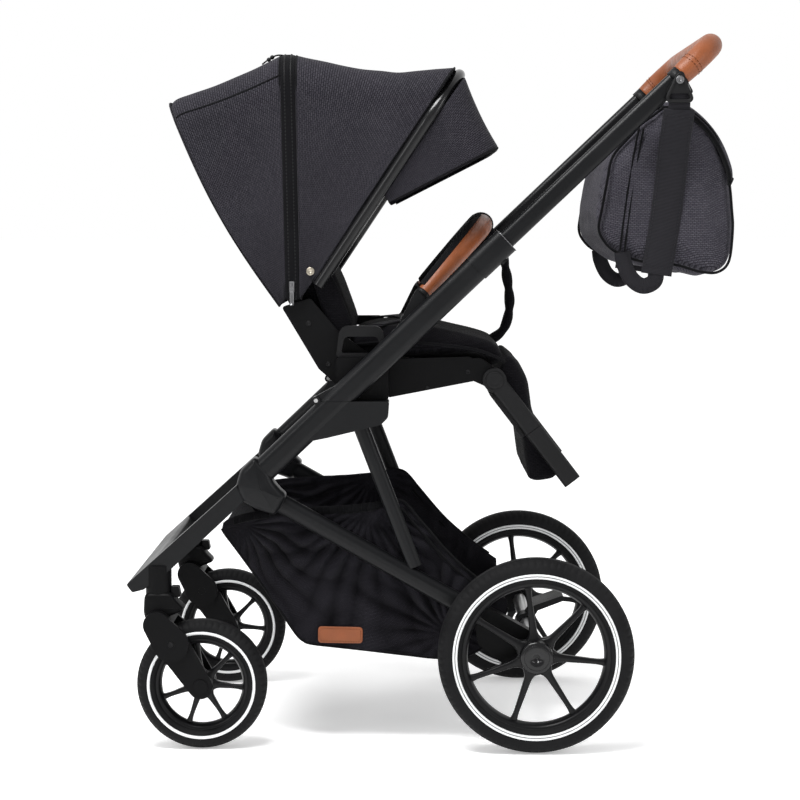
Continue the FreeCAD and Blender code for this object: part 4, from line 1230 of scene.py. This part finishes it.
def handle():
    """Leather sleeve over the U-shaped grip, with a double row of stitches near each end."""
    start, straight, bend, half = 354.0, 9.0, 60.0, 242.0
    bend_start = start + straight
    path = [along_tube(start + straight * k / 2, -half) for k in range(3)]
    for k in range(1, 19):
        turn = math.pi / 2 * k / 18
        path.append(along_tube(bend_start + bend * math.sin(turn), -half + bend * (1 - math.cos(turn))))
    path += [along_tube(bend_start + bend, (bend - half) * (1 - 2 * k / 40)) for k in range(1, 40)]
    path += [Vector((p.x, -p.y, p.z)) for p in reversed(path[:21])]
    grip = tube("grip_leather", path, 0.0172, "leather", "handle", 26,
                swell=lambda t: 0.93 + 0.09 * math.sin(math.pi * min(1, t * 9, (1 - t) * 9) / 2))
    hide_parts("handle_grip")
    spans = frames_along(path)
    for index in (4, 5, len(path) - 6, len(path) - 5):
        here, (_, side, out) = path[index], spans[index]
        ring = circle(here, side, out, 0.01765, 40)
        stitch(f"grip_stitches_{index}", ring + [ring[0]], "thread", "handle", 0.0032, 0.0022, 0.0005)
    inner = [p + (Vector((-0.7254, 0, -0.6884)) * 0.0168) for p in path[14:-14]]
    stitch("grip_seam_stitches", inner, "thread", "handle", 0.004, 0.003, 0.0006)
    for side, sign in SIDES:
        cuff = [along_tube(distance, sign * half) for distance in (340, 347, 354.5)]
        tube(f"grip_cuff_{side}", cuff, 0.0158, "plastic", "handle", 26)
        button(f"bag_hook_screw_{side}", at(398, 1001, sign * 259.2), 0.0062, (0, sign, 0), "gunmetal",
               "handle", 0.0024)
        frame_line = rounded([at(397.5, 1014, sign * 257.5), at(377.5, 970, sign * 257.5),
                              at(418, 970, sign * 257.5)], 0.009)
        tube(f"bag_buckle_{side}", evenly(frame_line + [frame_line[0]], 60, closed=True), 0.0029, "plastic",
             "handle", 10, closed=True)
        soft_block(f"bag_buckle_plate_{side}", [(397.5, 1013), (381, 981), (415, 981)], 1.6, "plastic", "handle",
                   edge=0.001, crown=0.0, around=48, across=4, corner=0.006, shift=(0, sign * 0.2574, 0))


BAG_OUTLINE = [(302, 890), (283, 778), (300, 752), (322, 742), (352, 732), (400, 729), (440, 717), (462, 715),
               (482, 727), (487, 760), (488, 801), (483, 863), (462, 925), (440, 948), (414, 966), (385, 968),
               (345, 940)]
BAG_EDGE, BAG_CORNER, BAG_SIDE = 0.014, 0.014, 199


def bag():
    """The stuffed bag with its piping, lid, zips and straps."""
    def droop(p):
        fall = max(0.0, (at(0, 800).z - p.z)) * 0.12
        wave = 0.003 * noise.noise(Vector((p.x * 14, p.y * 9, p.z * 13)))
        wave += 0.0014 * noise.noise(Vector((p.x * 40, p.y * 25, p.z * 31)))
        centre = at(388, 840)
        out = Vector((p.x - centre.x, p.y * 0.4, p.z - centre.z)).normalized()
        return p + out * wave - UP * (fall * 0.1)

    body = soft_block("bag_shell", BAG_OUTLINE, BAG_SIDE, "bag_fabric", None, edge=BAG_EDGE, crown=0.002,
                      around=132, across=40, corner=BAG_CORNER, puff=droop)
    inflate(body, cap=0.004, voxel=0.006, pressure=2.0)
    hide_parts("bag_body")
    pieces = [body]

    # Piping round each side panel, and a double one up its inner third.
    for side, sign in SIDES:
        ring = [droop(p) for p in edge_ring(BAG_OUTLINE, BAG_SIDE, BAG_EDGE, BAG_CORNER, sign, proud=0.0035)]
        pieces.append(tube(f"bag_piping_{side}", ring, 0.0021, "tape_solid", None, 8, closed=True))
        for number, shift in enumerate((0, 7)):
            points = smooth_line([droop(at(x + shift, z, sign * 203.4)) for x, z in
                                  ((344, 934), (336, 890), (329, 840), (322, 790), (317, 750))], 60)
            pieces.append(tube(f"bag_front_piping_{side}_{number}", points, 0.0016, "tape_solid", None, 8))

    # The lid: a panel over the top and the far side, bound all round, with a zip under its edge.
    lid_line = [(384, 972), (412, 970), (436, 955), (458, 932), (474, 906), (486, 874), (487, 858)]
    rows = []
    for p in through(lid_line, 26):
        row = []
        for v in width(31):
            tuck = 0.008 * max(0.0, abs(v) - 0.93) / 0.07
            row.append(Vector((p.x - tuck * 0.7, v * 0.2025, p.z - tuck)))
        rows.append(row)
    lid = sheet_piece("bag_lid", rows, "bag_fabric", None, 0.003, 0.0)
    pieces.append(lid)
    rim = [row[0] for row in rows] + rows[-1][1:-1] + [row[-1] for row in reversed(rows)]
    pieces.append(tube("bag_lid_binding", rim, 0.0026, "tape_solid", None, 8))
    for side, sign in SIDES:
        line = through([(x - 8, z - 10, sign * 200.5) for x, z in lid_line], 200)
        zip_line = tube(f"bag_zip_{side}", line, 0.0015, "plastic", None, 6,
                        swell=lambda t: 1 + 0.3 * math.cos(199 * math.pi * t))
        pieces.append(zip_line)

    for side, sign in SIDES:
        pieces += bag_strap(side, sign)
    for piece in pieces:
        recalculate(piece)
        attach(piece, "bag")
        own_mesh(piece)


def bag_strap(side, sign):
    """A broad webbing with a hem hangs from the hook by a narrower one, runs down the flank and folds below."""
    hook = along_tube(349)
    plane = sign * 254.5

    def inside(*route):
        return [at(x, z, plane - sign * y) for x, z, y in route]

    narrow = inside((398.2, hook.z * 1000 - 22, 0), (398.3, 972, 0.5), (398, 960, 2.5), (397.5, 950, 6))
    neck = strap(f"bag_strap_neck_{side}", smooth_line(narrow, 16), 0.031, 0.0022, "webbing", None,
                 across=Vector((1, 0, -0.05)))
    line = smooth_line(inside((398, 958, 2), (396.5, 935, 12), (394, 905, 26), (392, 870, 39), (389, 835, 46),
                              (385, 800, 48.5), (380, 765, 49.5), (374, 728, 50), (372, 714, 50)), 110)
    band = strap(f"bag_strap_{side}", line, 0.0445, 0.0032, "webbing", None, across=Vector((1, 0, -0.13)))
    loop = smooth_line(inside((372, 722, 51), (369, 704, 51), (352, 697, 52), (335, 708, 53), (324, 730, 54),
                              (321, 748, 55)), 50)
    rings, uvs = [], []
    for i, here in enumerate(loop):
        tangent = (loop[min(i + 1, 49)] - loop[max(i - 1, 0)]).normalized()
        wide = tangent.cross(ACROSS)
        for a, b in ((-0.5, -0.5), (0, -0.56), (0.5, -0.5), (0.5, 0.5), (0, 0.56), (-0.5, 0.5)):
            rings.append(here + wide * (0.024 * a) + ACROSS * (0.0032 * b))
            uvs.append((0.003 * i, 0.024 * a))
    tail = loft(f"bag_strap_loop_{side}", rings, 6, "webbing", None, uvs)
    stitches = []
    for offset in (-0.0192, 0.0192):
        row = [p + Vector((offset, sign * 0.0018, -0.13 * offset)) for p in line[4:-4]]
        stitches.append(stitch(f"bag_strap_stitches_{side}_{'a' if offset < 0 else 'b'}", row, "thread_black",
                               None, 0.003, 0.002, 0.00045))
    for number, here in enumerate((line[5], line[-6])):
        row = [here + Vector((x, sign * 0.0019, -0.13 * x)) for x in (-0.02, 0.02)]
        stitches.append(stitch(f"bag_strap_hem_{side}_{number}", row, "thread_black", None, 0.003, 0.002, 0.00045))
    if side == "left":
        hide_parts("bag_straps")
    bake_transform(neck)
    return [band, tail, *stitches]


# ---------------------------------------------------------------- frame details

ELBOW = [(-231, 442), (-251, 422), (-258, 398), (-250, 378), (-232, 366.5), (-216, 361), (-201, 355.5),
         (-184, 384.5), (-192, 391), (-203, 404), (-208, 418)]
SHROUD = [(-396, 238), (-356, 238), (-350, 226), (-336, 213), (-347, 208), (-361, 203), (-378, 193.5), (-390, 190),
          (-398, 206)]
SCREWS = [(90, 566, 182.6, 0.0035, "seat"), (28, 541, 182.6, 0.003, "seat"), (-152, 640, 190.6, 0.0042, "backrest"),
          (-122, 578, 190.6, 0.0036, "backrest"), (-355, 164, 278.1, 0.0042, "caster_{side}")]


def details():
    """Elbow shells, screws, fork shrouds with their seams, and the bright line on the collar."""
    for side, sign in SIDES:
        elbow = soft_block(f"elbow_shell_{side}", ELBOW, 23.5, "frame", "chassis", edge=0.011, crown=0.0015,
                           around=120, across=24, corner=0.006, shift=(0, sign * 0.2345, 0))
        if side == "left":
            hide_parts("elbows")
        for number, (x, z, y, radius, body) in enumerate(SCREWS):
            screw = button(f"screw_{side}_{number}", at(x, z, sign * y), radius, (0, sign, 0), "rim",
                           body.format(side=side), 0.0012)
        soft_block(f"fork_shroud_{side}", SHROUD, 20.5, "deep_plastic", f"caster_{side}", edge=0.006, crown=0.001,
                   around=84, across=20, corner=0.009, shift=(0, sign * 0.24, 0))
        for number, (z, tilt) in enumerate(((226, 0.0), (219, 0.18))):
            ring = circle(at(-376.6, z, sign * 240), Vector((1, 0, tilt)), ACROSS, 0.0203, 48)
            seam = tube(f"fork_seam_{side}_{number}", ring, 0.0009, "rim", f"caster_{side}", 6, closed=True)
        tube(f"collar_line_{side}", collar_ring(sign), 0.0006, "gunmetal", "upper_frame", 6,
             closed=True)


def collar_ring(sign):
    """The fine bright line round the end of the tube's collar."""
    ring = []
    for k in range(64):
        turn = 2 * math.pi * k / 64
        c, s = math.cos(turn), math.sin(turn)
        out = 14.9 * s + (6.0 if s > 0 else -6.0)
        ring.append(along_tube(-0.6, sign * 242 + 14.9 * c, out))
    return ring


finish_cad()
zip_cord()
studio()
wheels()
canopy()
seat()
leg_rest()
bumper()
basket()
handle()
bag()
details()
